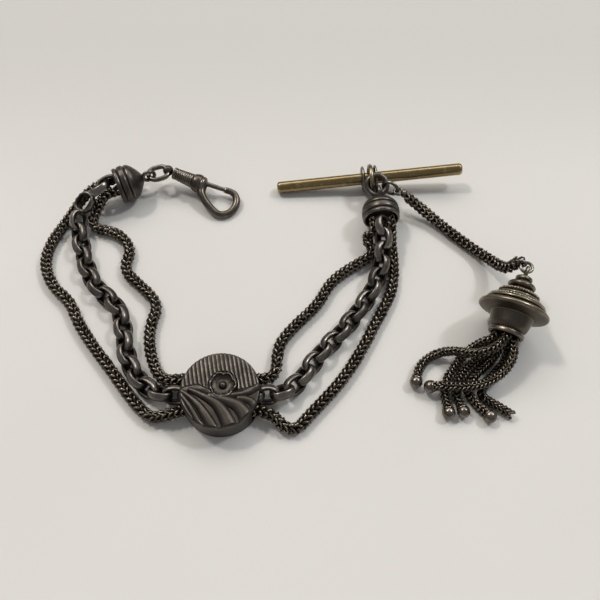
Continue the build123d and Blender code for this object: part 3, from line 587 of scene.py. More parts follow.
def store_wear(mesh: bpy.types.Mesh, wear: Sequence[float] | np.ndarray) -> None:
    """Store the wear of each point of a mesh."""
    stored = mesh.attributes.new(Attribute.WEAR.value, "FLOAT", "POINT")
    stored.data.foreach_set("value", wear)


def mark_wear(mesh: bpy.types.Mesh, reach: float) -> None:
    """Store how far each point stands proud: 0 deep in a groove, 0.5 on the flat, 1 on a sharp edge.

    Args:
        mesh: The mesh, in metres.
        reach: Radius of curvature that counts as fully worn, in millimetres.
    """
    count = len(mesh.vertices)
    places = np.zeros(count * 3)
    normals = np.zeros(count * 3)
    pairs = np.zeros(len(mesh.edges) * 2, dtype=np.int64)
    mesh.vertices.foreach_get("co", places)
    mesh.vertices.foreach_get("normal", normals)
    mesh.edges.foreach_get("vertices", pairs)
    places = places.reshape(-1, 3) / MM
    normals = normals.reshape(-1, 3)
    first, second = pairs.reshape(-1, 2).T
    curving = np.zeros(count)
    seen = np.zeros(count)
    for a, b in ((first, second), (second, first)):
        step = places[b] - places[a]
        square = np.maximum((step * step).sum(1), 1e-8)
        np.add.at(curving, a, -2 * (step * normals[a]).sum(1) / square)
        np.add.at(seen, a, 1)
    curving /= np.maximum(seen, 1)
    for _ in range(2):
        spread = np.zeros(count)
        np.add.at(spread, first, curving[second])
        np.add.at(spread, second, curving[first])
        curving = 0.5 * curving + 0.5 * spread / np.maximum(seen, 1)
    store_wear(mesh, (0.5 + 0.5 * np.tanh(curving * reach)).astype(np.float32))


def superellipse(turn: float, length: float, breadth: float, power: float) -> Vector:
    """Place on a rounded rectangle: an ellipse at a power of 2, squarer above it.

    Args:
        turn: Turn about the middle, in radians.
        length: Half length along X.
        breadth: Half breadth along Y.
        power: How square the corners are.

    Returns:
        The place.
    """
    x, y = math.cos(turn), math.sin(turn)
    scale = (abs(x / length) ** power + abs(y / breadth) ** power) ** (-1 / power)
    return Vector((x * scale, y * scale))


def smoothstep(low: float, high: float, value: float) -> float:
    """Smooth step from 0 at low to 1 at high."""
    t = min(1.0, max(0.0, (value - low) / (high - low)))
    return t * t * (3 - 2 * t)


# ================================================================== the frame
@dataclass
class Frame:
    """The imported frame: joints by name and nodes, read in millimetres."""

    joints: dict[str, dict]
    nodes: dict[str, bpy.types.Object]

    def hinge(self, joint: str) -> Vector:
        """Place of a hinge."""
        return Vector(self.joints[joint]["pos_m"]) / MM

    def axis(self, joint: str) -> Vector:
        """Direction of a joint's axis."""
        return Vector(self.joints[joint]["axis"]).normalized()

    def islands(self, node: str) -> list[np.ndarray]:
        """Points of each separate solid in a node, in the order that they come in its mesh.

        Args:
            node: Name of the node.

        Returns:
            An array of points, in millimetres, for each solid.
        """
        work = bmesh.new()
        work.from_mesh(self.nodes[node].data)
        bmesh.ops.remove_doubles(work, verts=work.verts, dist=1e-8)
        work.verts.ensure_lookup_table()
        found, seen = [], set()
        for start in work.verts:
            if start.index in seen:
                continue
            seen.add(start.index)
            stack, island = [start], []
            while stack:
                point = stack.pop()
                island.append(point.co / MM)
                for edge in point.link_edges:
                    other = edge.other_vert(point)
                    if other.index not in seen:
                        seen.add(other.index)
                        stack.append(other)
            found.append(np.array([tuple(p) for p in island]))
        work.free()
        return found

    def ring(self, node: str) -> Seat:
        """Seat of a ring's node: its middle, and its axis as the direction that it is thinnest in."""
        return flat_seat(self.islands(node)[0])


def flat_seat(points: np.ndarray) -> Seat:
    """Seat of a flat, even shape: the middle of its box, its thin direction, and its long one as the side.

    Args:
        points: Points of the shape, in millimetres.

    Returns:
        The seat.
    """
    middle = points.mean(0)
    _, _, directions = np.linalg.svd(points - middle, full_matrices=False)
    spans = (points - middle) @ directions.T
    middle = middle + directions.T @ ((spans.max(0) + spans.min(0)) / 2)
    thin, long = Vector(directions[2]), Vector(directions[0])
    if thin.z < 0:
        thin = -thin
    return Seat(Vector(middle), thin, long, thin.cross(long))


@dataclass
class Route:
    """Smooth line that has given places, in millimetres, as its control points."""

    places: list[Place]
    _line: list[Vector] = field(default_factory=list)

    def curve(self) -> bpy.types.Object:
        """A curve object along the route, in metres.

        Returns:
            The object.
        """
        data = bpy.data.curves.new("route", "CURVE")
        data.dimensions = "3D"
        data.resolution_u = 16
        spline = data.splines.new("NURBS")
        spline.points.add(len(self.places) - 1)
        for point, place in zip(spline.points, self.places):
            point.co = (*(c * MM for c in place), 1.0)
        spline.order_u = 3
        spline.use_endpoint_u = True
        return linked("route", data)

    @property
    def line(self) -> list[Vector]:
        """Places read along the smooth line.

        Returns:
            The places, in millimetres.
        """
        if not self._line:
            carrier = self.curve()
            mesh = bpy.data.meshes.new_from_object(carrier)
            self._line = [v.co / MM for v in mesh.vertices]
            discard(carrier)
            bpy.data.meshes.remove(mesh)
        return self._line

    def length(self) -> float:
        """Length of the smooth line."""
        return sum((b - a).length for a, b in zip(self.line, self.line[1:]))

    def nearest(self, place: Vector) -> tuple[float, Vector, Vector]:
        """Nearest point of the line to a place.

        Args:
            place: The place.

        Returns:
            How far along the line it is, the point, and the line's direction there.
        """
        best = min(range(len(self.line)), key=lambda i: (self.line[i] - place).length)
        travelled = sum((b - a).length for a, b in zip(self.line[:best], self.line[1 : best + 1]))
        ahead = self.line[min(best + 1, len(self.line) - 1)]
        behind = self.line[max(best - 1, 0)]
        return travelled, self.line[best], (ahead - behind).normalized()


def discard(*objects: bpy.types.Object) -> None:
    """Remove helper objects and their data.

    Args:
        *objects: The objects.
    """
    for made in objects:
        data = made.data
        bpy.data.objects.remove(made)
        if isinstance(data, bpy.types.Mesh):
            bpy.data.meshes.remove(data)
        elif isinstance(data, bpy.types.Curve):
            bpy.data.curves.remove(data)


# ================================================================== geometry nodes
class Pattern:
    """A geometry node tree with named inputs, which a modifier sets by identifier."""

    def __init__(self, name: str, sockets: Sequence[tuple[str, str]]) -> None:
        """Make the tree and its inputs.

        Args:
            name: Name of the tree.
            sockets: (name, socket type) of each input after the geometry.
        """
        self.tree = bpy.data.node_groups.new(name, "GeometryNodeTree")
        self.graph = Graph(self.tree)
        interface = self.tree.interface
        interface.new_socket("Geometry", in_out="INPUT", socket_type="NodeSocketGeometry")
        for socket, kind in sockets:
            interface.new_socket(socket, in_out="INPUT", socket_type=kind)
        interface.new_socket("Geometry", in_out="OUTPUT", socket_type="NodeSocketGeometry")
        self._inputs = self.graph.node("NodeGroupInput")

    def input(self, name: str) -> Signal:
        """One of the tree's inputs."""
        return Signal(self.graph, self._inputs.outputs[name])

    def facing(self, along: Signal, across: Signal) -> Signal:
        """Rotation with Z along one direction and X near another."""
        settings = {"primary_axis": "Z", "secondary_axis": "X"}
        return self.graph.signal("FunctionNodeAxesToRotation", settings, {0: along, 1: across})

    def finish(self, instances: Signal, tone: float) -> None:
        """End the tree: give each instance its own tone, realize it and set its material.

        Args:
            instances: The instances.
            tone: The most that a tone is above or below nought.
        """
        graph = self.graph
        span = {2: -tone, 3: tone, "Seed": self.input("Seed")}
        random = graph.signal("FunctionNodeRandomValue", {"data_type": "FLOAT"}, span, output=1)
        settings = {"data_type": "FLOAT", "domain": "INSTANCE"}
        stored = {"Geometry": instances, "Name": Attribute.TONE.value, "Value": random}
        toned = graph.signal("GeometryNodeStoreNamedAttribute", settings, stored)
        real = graph.signal("GeometryNodeRealizeInstances", {}, {"Geometry": toned})
        inputs = {"Geometry": real, "Material": self.input("Material")}
        graph.node("NodeGroupOutput", {}, {0: graph.signal("GeometryNodeSetMaterial", {}, inputs)})

    def applied(
        self, carrier: bpy.types.Object, name: str, values: dict, finish: MetalFinish
    ) -> bpy.types.Object:
        """Run the tree on a carrier and return its result as a plain piece.

        Args:
            carrier: The object that holds the path or the points. It is removed.
            name: Name of the piece.
            values: The tree's inputs by name.
            finish: The piece's finish.

        Returns:
            The piece.
        """
        modifier = carrier.modifiers.new("pattern", "NODES")
        modifier.node_group = self.tree
        values = {**values, "Material": finish.material()}
        for item in self.tree.interface.items_tree:
            if item.in_out == "INPUT" and item.name in values:
                modifier[item.identifier] = values[item.name]
        depsgraph = bpy.context.evaluated_depsgraph_get()
        mesh = bpy.data.meshes.new_from_object(carrier.evaluated_get(depsgraph), depsgraph=depsgraph)
        carrier.modifiers.remove(modifier)
        discard(carrier)
        mesh.name = name
        return placed(mesh, name, finish)


class LinksAlongPath(Pattern):
    """Loops of wire set one after another along a path, each rolled a step from the one before."""

    def __init__(self) -> None:
        """Build the tree."""
        sockets = (
            ("Link", "NodeSocketObject"),
            ("Pitch", "NodeSocketFloat"),
            ("First", "NodeSocketInt"),
            ("Last", "NodeSocketInt"),
            ("First Roll", "NodeSocketFloat"),
            ("Roll Step", "NodeSocketFloat"),
            ("Unevenness", "NodeSocketFloat"),
            ("Seed", "NodeSocketInt"),
            ("Material", "NodeSocketMaterial"),
        )
        super().__init__("links_along_path", sockets)
        graph = self.graph
        spaced = {"Curve": self.input("Geometry"), "Length": self.input("Pitch")}
        path = graph.signal("GeometryNodeResampleCurve", {"mode": "LENGTH"}, spaced)
        index = graph.signal("GeometryNodeInputIndex")
        tangent = graph.signal("GeometryNodeInputTangent")
        across = graph.signal("ShaderNodeVectorMath", {"operation": "CROSS_PRODUCT"}, {0: tangent, 1: UP[:]})
        spread = {2: -1.0, 3: 1.0, "Seed": self.input("Seed")}
        wobble = graph.signal("FunctionNodeRandomValue", {"data_type": "FLOAT"}, spread, output=1)
        wobble = wobble * self.input("Unevenness")
        roll = index * self.input("Roll Step") + self.input("First Roll") + wobble
        turn = graph.signal("FunctionNodeAxisAngleToRotation", {}, {"Axis": UP[:], "Angle": roll})
        inputs = {0: self.facing(tangent, across), 1: turn}
        rotation = graph.signal("FunctionNodeRotateRotation", {"rotation_space": "LOCAL"}, inputs)
        after, before = (
            graph.signal("FunctionNodeCompare", {"data_type": "INT", "operation": way}, {2: index, 3: end})
            for way, end in (("GREATER_EQUAL", self.input("First")), ("LESS_EQUAL", self.input("Last")))
        )
        both = graph.signal("FunctionNodeBooleanMath", {"operation": "AND"}, {0: after, 1: before})
        link = graph.signal("GeometryNodeObjectInfo", {}, {"Object": self.input("Link")}, output="Geometry")
        size = wobble * 0.12 + 1.0
        inputs = {"Points": path, "Selection": both, "Instance": link, "Rotation": rotation, "Scale": size}
        self.finish(graph.signal("GeometryNodeInstanceOnPoints", {}, inputs), tone=0.5)


class PiecesAtSeats(Pattern):
    """A shape set at each point of a mesh, turned as the point's own along and across attributes say."""

    def __init__(self) -> None:
        """Build the tree."""
        sockets = (
            ("Shape", "NodeSocketObject"),
            ("Seed", "NodeSocketInt"),
            ("Material", "NodeSocketMaterial"),
        )
        super().__init__("pieces_at_seats", sockets)
        graph = self.graph
        named = {"data_type": "FLOAT_VECTOR"}
        along = graph.signal("GeometryNodeInputNamedAttribute", named, {"Name": "along"})
        across = graph.signal("GeometryNodeInputNamedAttribute", named, {"Name": "across"})
        shape = graph.signal("GeometryNodeObjectInfo", {}, {"Object": self.input("Shape")}, output="Geometry")
        inputs = {"Points": self.input("Geometry"), "Instance": shape, "Rotation": self.facing(along, across)}
        self.finish(graph.signal("GeometryNodeInstanceOnPoints", {}, inputs), tone=0.35)

    @staticmethod
    def carrier(seats: Sequence[Seat]) -> bpy.types.Object:
        """Points for the tree, one for each seat.

        Args:
            seats: The seats.

        Returns:
            An object that holds the points.
        """
        mesh = bpy.data.meshes.new("seats")
        mesh.from_pydata([s.origin * MM for s in seats], [], [])
        for name, directions in (("along", [s.along for s in seats]), ("across", [s.side for s in seats])):
            stored = mesh.attributes.new(name, "FLOAT_VECTOR", "POINT")
            stored.data.foreach_set("vector", [c for d in directions for c in d])
        return linked("seats", mesh)


@dataclass
class Workshop:
    """What every sub-assembly works with: the frame and the two patterns."""

    frame: Frame
    links: LinksAlongPath
    pieces: PiecesAtSeats


def report(piece: bpy.types.Object, body: str) -> None:
    """Log a finished piece."""
    LOG.info("%s rides on %s: %d faces", piece.name, body, len(piece.data.polygons))


def ridden(piece: bpy.types.Object, body: str, *nodes: str) -> bpy.types.Object:
    """Let a piece ride on a body and stand for frame nodes.

    Args:
        piece: The piece.
        body: The body.
        *nodes: The nodes that it replaces.

    Returns:
        The piece.
    """
    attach(piece, body)
    if nodes:
        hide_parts(*nodes)
    report(piece, body)
    return piece


def ring_of_wire(frame: Frame, node: str, radius: float, wire: float, finish: MetalFinish) -> None:
    """Ring of round wire that stands for a node and rides on the body of the same name."""
    skin = Skin().wire_ring(frame.ring(node), radius, wire)
    ridden(skin.piece(f"{node}_wire", finish, 0.5), node, node)


# ================================================================== slide
@dataclass(frozen=True)
class Fold:
    """Fold of the drapery: half width at its start and end, height, and the places along its crest."""

    first: float
    last: float
    height: float
    places: tuple[tuple[float, float], ...]


@dataclass
class Slide:
    """Round slide that the strands run through: stamped face, applied flower, case and back."""

    shop: Workshop
    radius: float = 7.2
    case_top: float = 4.44
    face_thick: float = 0.5
    edge_round: float = 0.34
    dome: float = 0.22
    flute_pitch: float = 0.75
    flute_height: float = 0.26
    flute_lean: float = 11.0   # degrees
    rim: float = 0.35
    rim_height: float = 0.10
    ground: float = 0.12       # height of the drapery between its folds
    hem_height: float = 0.16
    hem_width: float = 0.16
    flower_place: tuple[float, float] = (0.55, 0.75)
    flower_radius: float = 2.45
    flower_height: float = 0.72
    petals: int = 6
    bead_radius: float = 0.72
    bead_seat: float = 0.26
    cup_floor: float = 0.24
    cup_rise: float = 0.38
    ruffle_height: float = 0.07
    rings_count: int = 110
    segments: int = 336
    hem: tuple[tuple[float, float], ...] = (
        (-7.2, -0.1), (-5.6, 0.5), (-3.9, 0.75), (-2.2, 0.0), (-0.8, -1.0), (1.0, -1.2), (2.4, -0.35),
        (4.4, -0.1), (5.9, 0.35), (7.2, 1.2),
    )
    folds: tuple[Fold, ...] = (
        Fold(0.55, 0.50, 0.28, ((-7.2, -0.5), (-5.4, 0.2), (-3.4, 0.25), (-1.7, -0.6))),
        Fold(0.40, 0.50, 0.36, ((-7.2, -1.2), (-6.4, -2.6), (-5.6, -3.9), (-4.6, -5.6))),
        Fold(0.42, 0.58, 0.42, ((-7.0, -0.8), (-5.6, -2.3), (-4.3, -4.2), (-3.0, -6.5))),
        Fold(0.42, 0.95, 0.48, ((-6.6, -0.4), (-4.5, -1.8), (-2.6, -4.0), (-0.8, -6.9))),
        Fold(0.45, 1.35, 0.60, ((-5.2, -0.1), (-2.4, -1.3), (0.6, -3.3), (2.2, -6.7))),
        Fold(0.75, 1.35, 0.56, ((-1.6, -1.3), (1.4, -2.0), (4.0, -3.2), (5.0, -5.2))),
        Fold(0.60, 0.60, 0.46, ((0.6, -1.3), (3.4, -1.0), (5.6, -0.4), (7.2, 0.9))),
        Fold(0.60, 0.80, 0.34, ((3.6, -1.6), (5.2, -1.8), (6.2, -2.6), (6.6, -3.6))),
    )
    crests: list[tuple[kdtree.KDTree, int]] = field(default_factory=list, init=False)

    def build(self) -> None:
        """Make the face and the flower. The case and the back stay the frame's own."""
        for fold in self.folds:
            line = Route([(x, y, 0.0) for x, y in fold.places]).line
            tree = kdtree.KDTree(len(line))
            for number, place in enumerate(line):
                tree.insert(place, number)
            tree.balance()
            self.crests.append((tree, len(line) - 1))
        self._face()
        self._flower()

    def _hem_at(self, x: float) -> float:
        """Height of the drapery's hem over the face, at a place across it.

        Args:
            x: The place.

        Returns:
            How high up the face the hem is there.
        """
        for (x0, y0), (x1, y1) in zip(self.hem, self.hem[1:]):
            if x <= x1:
                return y0 + (y1 - y0) * smoothstep(x0, x1, x)
        return self.hem[-1][1]

    def _folds_at(self, x: float, y: float) -> float:
        """Height of the highest fold at a place.

        Args:
            x: Place across the face.
            y: Place up the face.

        Returns:
            The height, or 0 between the folds.
        """
        tallest = 0.0
        for fold, (tree, count) in zip(self.folds, self.crests):
            _, number, off = tree.find((x, y, 0.0))
            half = fold.first + (fold.last - fold.first) * number / count
            if off < half:
                tallest = max(tallest, fold.height * (1 - (off / half) ** 2) ** 0.7)
        return tallest

    def height(self, x: float, y: float) -> float:
        """Height of the stamped face above its plane.

        Args:
            x: Place across the face.
            y: Place up the face.

        Returns:
            The height.
        """
        reach = math.hypot(x, y) / self.radius
        level = self.dome * (1 - reach**2)
        above = y - self._hem_at(x)
        lean = math.radians(self.flute_lean)
        across = (x * math.cos(lean) + y * math.sin(lean)) / self.flute_pitch
        ridge = abs(math.sin(math.pi * across)) ** 0.8
        fluted = smoothstep(0.05, 0.4, above)
        fluted *= smoothstep(self.radius, self.radius - self.rim - 0.25, reach * self.radius)
        from_flower = math.hypot(x - self.flower_place[0], y - self.flower_place[1])
        fluted *= smoothstep(self.flower_radius + 0.05, self.flower_radius + 0.45, from_flower)
        level += self.flute_height * ridge * fluted
        draped = smoothstep(0.15, -0.15, above)
        if draped > 0:
            level += draped * (self.ground + self._folds_at(x, y)) * smoothstep(1.0, 0.93, reach)
        hem = self.hem_height * math.exp(-((above + 0.02) / self.hem_width) ** 2)
        level += hem * smoothstep(1.0, 0.95, reach)
        return level + self.rim_height * smoothstep(0.945, 0.965, reach)

    def _circle(self, reach: float, read_at: float, drop: float = 0.0) -> list[Vector]:
        """Ring of points of the face.

        Args:
            reach: Radius of the ring.
            read_at: Distance from the middle at which the face's height is read.
            drop: How far below that height the ring lies.

        Returns:
            The points.
        """
        top = self.case_top + self.face_thick
        ring = []
        for i in range(self.segments):
            turn = math.tau * i / self.segments
            level = top + self.height(read_at * math.cos(turn), read_at * math.sin(turn)) - drop
            ring.append(Vector((reach * math.cos(turn), reach * math.sin(turn), level)))
        return ring

    def _face(self) -> None:
        """Stamped face: flutes above, folds of drapery below, and a rim rounded over its edge."""
        middle = self.case_top + self.face_thick + self.height(0, 0)
        rings: list[list[Vector]] = [[Vector((0, 0, middle))]]
        flat = self.radius - self.edge_round
        for ring in range(1, self.rings_count + 1):
            reach = flat * ring / self.rings_count
            rings.append(self._circle(reach, reach))
        edge = self.height(flat, 0)
        for step in (20, 40, 60, 80, 90):
            a = math.radians(step)
            drop = (self.edge_round + edge) * (1 - math.cos(a))
            rings.append(self._circle(flat + self.edge_round * math.sin(a), flat, drop))
        rings.append([Vector((p.x, p.y, self.case_top)) for p in rings[-1]])
        rings.append([Vector((0, 0, self.case_top))])
        ridden(Skin().rings(rings).piece("slide_stamped_face", OXIDISED, 0.22), "slide", "slide_face")

    def _petal_edge(self, turn: float) -> float:
        """Outer radius of the flower at a turn, in radians, with its uneven scallops.

        Args:
            turn: The turn about the flower's middle.

        Returns:
            The radius.
        """
        lobe = abs(math.cos(self.petals * turn / 2)) ** 0.55
        uneven = 0.06 * math.sin(3.1 * turn + 1.0) + 0.05 * math.sin(7.3 * turn)
        return self.flower_radius * (0.86 + 0.14 * lobe) + uneven

    def _flower(self) -> None:
        """Open flower with a scalloped, ruffled rim and a round bead in its cup."""
        foot = self.case_top + self.face_thick + 0.05
        middle = Vector((*self.flower_place, foot))
        segments, steps = 144, 44
        rings: list[list[Vector]] = [[middle + UP * (self.bead_seat + self.bead_radius)]]
        for step in range(1, steps + 1):
            share = step / steps
            row = []
            for i in range(segments):
                turn = math.tau * i / segments
                reach = share * (self._petal_edge(turn) + 0.12)
                seam = abs(math.cos(self.petals * turn / 2)) ** 0.4
                rise = self.cup_rise * smoothstep(0.35, 0.86, share) ** 1.5 * (0.6 + 0.4 * seam)
                cup = self.cup_floor + rise
                wave = math.sin(13 * turn + 2 * math.sin(3 * turn))
                ruffle = self.ruffle_height * wave * smoothstep(0.6, 0.9, share)
                crest = math.exp(-((share - 0.88) / 0.085) ** 2)
                rolled = self.flower_height * (0.72 + 0.28 * seam) * crest * 0.45
                level = (cup + rolled + ruffle) * smoothstep(1.0, 0.93, share)
                bead = self.bead_radius**2 - reach**2
                if bead > 0:
                    level = max(level, self.bead_seat + math.sqrt(bead))
                row.append(middle + Vector((reach * math.cos(turn), reach * math.sin(turn), level)))
            rings.append(row)
        rings.append([Vector((p.x, p.y, foot - 0.1)) for p in rings[-1]])
        rings.append([Vector((*self.flower_place, foot - 0.1))])
        flower = Skin().rings(rings).piece("slide_rosette", OXIDISED, 0.2)
        ridden(flower, "slide", "slide_flower", "slide_flower_bead")


def dress(node: bpy.types.Object, finish: MetalFinish) -> None:
    """Give a frame node a finish."""
    node.data.materials.clear()
    node.data.materials.append(finish.material())


# ================================================================== strands
@dataclass(frozen=True)
class LoopLink:
    """Loop of wire folded into a saddle, the link of a woven strand."""

    reach: float = 0.84        # from the strand's axis to the middle of the wire
    wire: float = 0.225        # radius of the wire
    rise: float = 1.12         # how far the loop's ends stand forward

    def carrier(self, scale: float = 1.0) -> bpy.types.Object:
        """Helper object with the loop's mesh, its wear growing away from the strand's axis.

        Args:
            scale: Factor on the loop's sizes.

        Returns:
            The object.
        """
        half = ((0.0, 0.20, 0.0), (0.42, 0.22, 0.10), (0.74, 0.42, 0.36), (0.97, 0.38, 0.72))
        loop = [*half, (1.0, 0.0, 1.0)]
        loop.extend((x, -y, z) for x, y, z in reversed(half))
        loop.extend((-x, -y, z) for x, y, z in half[1:])
        loop.append((-1.0, 0.0, 1.0))
        loop.extend((-x, y, z) for x, y, z in reversed(half[1:]))
        path = [Vector((x * self.reach, y, z * self.rise)) * scale for x, y, z in loop]
        skin = Skin().tube(path, self.wire * scale, 4, closed=True)
        mesh = skin.mesh("loop_link", None)
        outer = (self.reach + self.wire) * scale * MM
        store_wear(mesh, [smoothstep(0.45, 1.0, v.co.to_2d().length / outer) * 0.95 for v in mesh.vertices])
        return linked("loop_link", mesh)


@dataclass
class WovenStrand:
    """Loop-in-loop strand along a route, cut into pieces that each lie across one joint."""

    shop: Workshop
    name: str
    route: Route
    width: float = 2.32
    pitch: float = 0.52
    first_roll: float = 45.0
    roll_step: float = 90.0
    seed: int = 1
    full_width: float = 2.1
    unevenness: float = 0.16

    def stretch(self, name: str, start: float, end: float) -> bpy.types.Object:
        """Links of the strand between two distances along its route, in millimetres.

        Args:
            name: Name of the piece.
            start: Distance where the links begin.
            end: Distance where they end.

        Returns:
            The piece.
        """
        scale = self.width / self.full_width
        pitch = self.pitch * scale
        link = LoopLink().carrier(scale)
        values = {
            "Link": link,
            "Pitch": pitch * MM,
            "First": int(start / pitch) + 1,
            "Last": int(end / pitch),
            "First Roll": math.radians(self.first_roll),
            "Roll Step": math.radians(self.roll_step),
            "Unevenness": self.unevenness,
            "Seed": self.seed,
        }
        piece = self.shop.links.applied(self.route.curve(), name, values, WOVEN)
        discard(link)
        return piece

    def bend(self, piece: bpy.types.Object, joint: str, reach: float, at: Vector | None = None) -> None:
        """Bake a piece's place into its mesh and log it with the two bodies of a joint; the piece is not
        bent.

        Args:
            piece: The piece.
            joint: The joint between its two bodies.
            reach: How far a bend would spread along the route, either way, in millimetres; the span is worked
                out but not used.
            at: Where a bend would be, or None for the route's nearest place to the hinge; only feeds that
                unused span.
        """
        facts = self.shop.frame.joints[joint]
        _, middle, along = self.route.nearest(at if at is not None else self.shop.frame.hinge(joint))
        start, end = (middle - along * reach) * MM, (middle + along * reach) * MM
        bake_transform(piece)
        report(piece, f"{facts['parent']} and {facts['child']}")


@dataclass(frozen=True)
class StrandPlan:
    """A woven strand's side, row and route from the slide's mouth to its cap.

    Attributes:
        side: left or right of the slide.
        row: inner or outer.
        places: The route after the slide's mouth.
        flex: Run of the route that the strand flexes in.
        across: Its place across the cap's mouth.
    """

    side: str
    row: str
    places: tuple[Place, ...]
    flex: int
    across: float


@dataclass
class Strands:
    """The woven strands and the belcher chain, from the slide to both caps."""

    shop: Workshop
    channel: float = 2.3202
    woven_z: float = 1.08
    spacing: float = 3.0
    mouth: float = 7.0
    lower_bend: float = 10.2   # how far out the lower flexing place is
    lower_reach: float = 1.0   # how far that bend would spread, either way; the bend is not applied
    upper_reach: float = 3.0
    entry_back: float = 1.6
    entry_depth: float = 0.8
    entry_spread: float = 1.6
    entry_lift: float = 0.6
    caps: dict[str, Seat] = field(default_factory=dict)

    def plans(self) -> list[StrandPlan]:
        """The four woven strands. At the low height a strand lies on the surface.

        Returns:
            The strands' plans.
        """
        low, high = self.woven_z, self.channel
        spread = self.entry_spread
        return [
            StrandPlan("left", "inner", (
                (-9.4, 2.7, high), (-11.2, 3.4, 1.9), (-12.8, 5.6, low), (-14.3, 9.6, low),
                (-14.7, 14.2, low), (-13.5, 19.2, low), (-17.4, 23.2, low), (-21.4, 26.8, low),
                (-20.4, 32.2, low), (-24.0, 36.2, low), (-29.6, 37.2, low), (-28.2, 42.2, 2.8),
            ), 5, spread),
            StrandPlan("left", "outer", (
                (-9.8, -3.9, 2.1), (-12.8, -4.0, low), (-16.4, -0.6, low), (-20.8, 5.0, low),
                (-25.0, 10.0, low), (-28.6, 14.8, low), (-31.0, 19.6, low), (-35.4, 23.4, low),
                (-37.8, 28.6, low), (-37.2, 34.2, low), (-34.6, 39.8, low), (-31.8, 44.5, 2.6),
            ), 6, -spread),
            StrandPlan("right", "inner", (
                (8.9, 3.3, high), (9.9, 5.2, 1.7), (10.0, 8.0, low), (10.6, 11.0, low), (13.6, 14.8, low),
                (18.0, 19.2, low), (20.4, 24.2, low), (25.2, 28.0, low), (29.6, 30.4, 1.5), (27.8, 33.8, 2.6),
            ), 5, -spread),
            StrandPlan("right", "outer", (
                (9.5, -3.8, 2.1), (11.2, -5.5, 1.3), (13.6, -6.1, low), (16.6, -2.9, low), (22.2, 3.2, low),
                (26.0, 9.2, low), (29.4, 15.8, low), (32.6, 21.8, low), (33.4, 27.6, low), (33.0, 32.4, 2.2),
            ), 6, spread),
        ]

    def build(self) -> None:
        """Make the woven strands and the belcher chain."""
        for number, plan in enumerate(self.plans()):
            self._woven(plan, number)
        self._belcher()

    def _woven(self, plan: StrandPlan, number: int) -> None:
        """One woven strand, in two pieces: one across the slide's mouth, one across its own flexing place.

        Args:
            plan: The strand's plan.
            number: Its number, which sets its seed.
        """
        way = -1 if plan.side == "left" else 1
        across = self.spacing if plan.row == "inner" else -self.spacing
        cap = self.caps[plan.side]
        depths = (-self.entry_back, self.entry_depth)
        entry = [cap.at(depth, plan.across, 0) + UP * self.entry_lift for depth in depths]
        start = [(way * x, across, self.channel) for x in (0.0, 4.0, self.mouth)]
        route = Route(start + list(plan.places) + [tuple(p) for p in entry])
        strand = WovenStrand(self.shop, f"{plan.side}_{plan.row}_strand", route, seed=11 + number)
        from_mouth = [(way * self.mouth, across, self.channel), *plan.places]
        flex = (Vector(from_mouth[plan.flex]) + Vector(from_mouth[plan.flex + 1])) / 2
        flex_at = route.nearest(flex)[0]
        split = (self.lower_bend + flex_at) / 2
        lower = strand.stretch(f"{strand.name}_from_slide", 0.0, split)
        hinge = Vector((way * self.lower_bend, across, self.channel))
        strand.bend(lower, f"{plan.side}_lower_flex", self.lower_reach, hinge)
        nodes = [f"{plan.side}_{plan.row}_strand_lower"]
        if plan.side == "left":
            nodes.append(f"{plan.row}_strand_middle")
        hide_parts(*nodes)
        upper = strand.stretch(f"{strand.name}_to_cap", split, route.length())
        strand.bend(upper, f"{plan.side}_upper_flex", self.upper_reach, flex)
        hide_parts(f"{plan.side}_{plan.row}_strand_upper")

    def _belcher(self) -> None:
        """Belcher chain: rounded rings at the frame's links, one piece for each body."""
        shape = BelcherLink().carrier()
        bodies = {
            "belcher_chain_middle": "chain_middle",
            "left_belcher_chain_lower": "left_lower",
            "left_belcher_chain_upper": "left_upper",
            "right_belcher_chain_lower": "right_lower",
            "right_belcher_chain_upper": "right_upper",
        }
        links = {node: [flat_seat(points) for points in self.shop.frame.islands(node)] for node in bodies}
        middles = [seat.origin for seats in links.values() for seat in seats]
        for number, (node, body) in enumerate(bodies.items()):
            seats = [self._in_line(seat, middles) for seat in links[node]]
            carrier = PiecesAtSeats.carrier(seats)
            values = {"Shape": shape, "Seed": 21 + number}
            piece = self.shop.pieces.applied(carrier, f"{node}_rings", values, OXIDISED)
            ridden(piece, body, node)
        discard(shape)

    @staticmethod
    def _in_line(seat: Seat, middles: Sequence[Vector]) -> Seat:
        """Turn a link about its own axis until its side points at its neighbours.

        Args:
            seat: The link's seat.
            middles: Middles of all the links.

        Returns:
            The turned seat.
        """
        nearest = sorted(middles, key=lambda middle: (middle - seat.origin).length)[1:3]
        first, second = (middle - seat.origin for middle in nearest)
        chain = first - second if first.dot(second) < 0 else first
        side = (chain - seat.along * chain.dot(seat.along)).normalized()
        return Seat(seat.origin, seat.along, side, seat.along.cross(side))


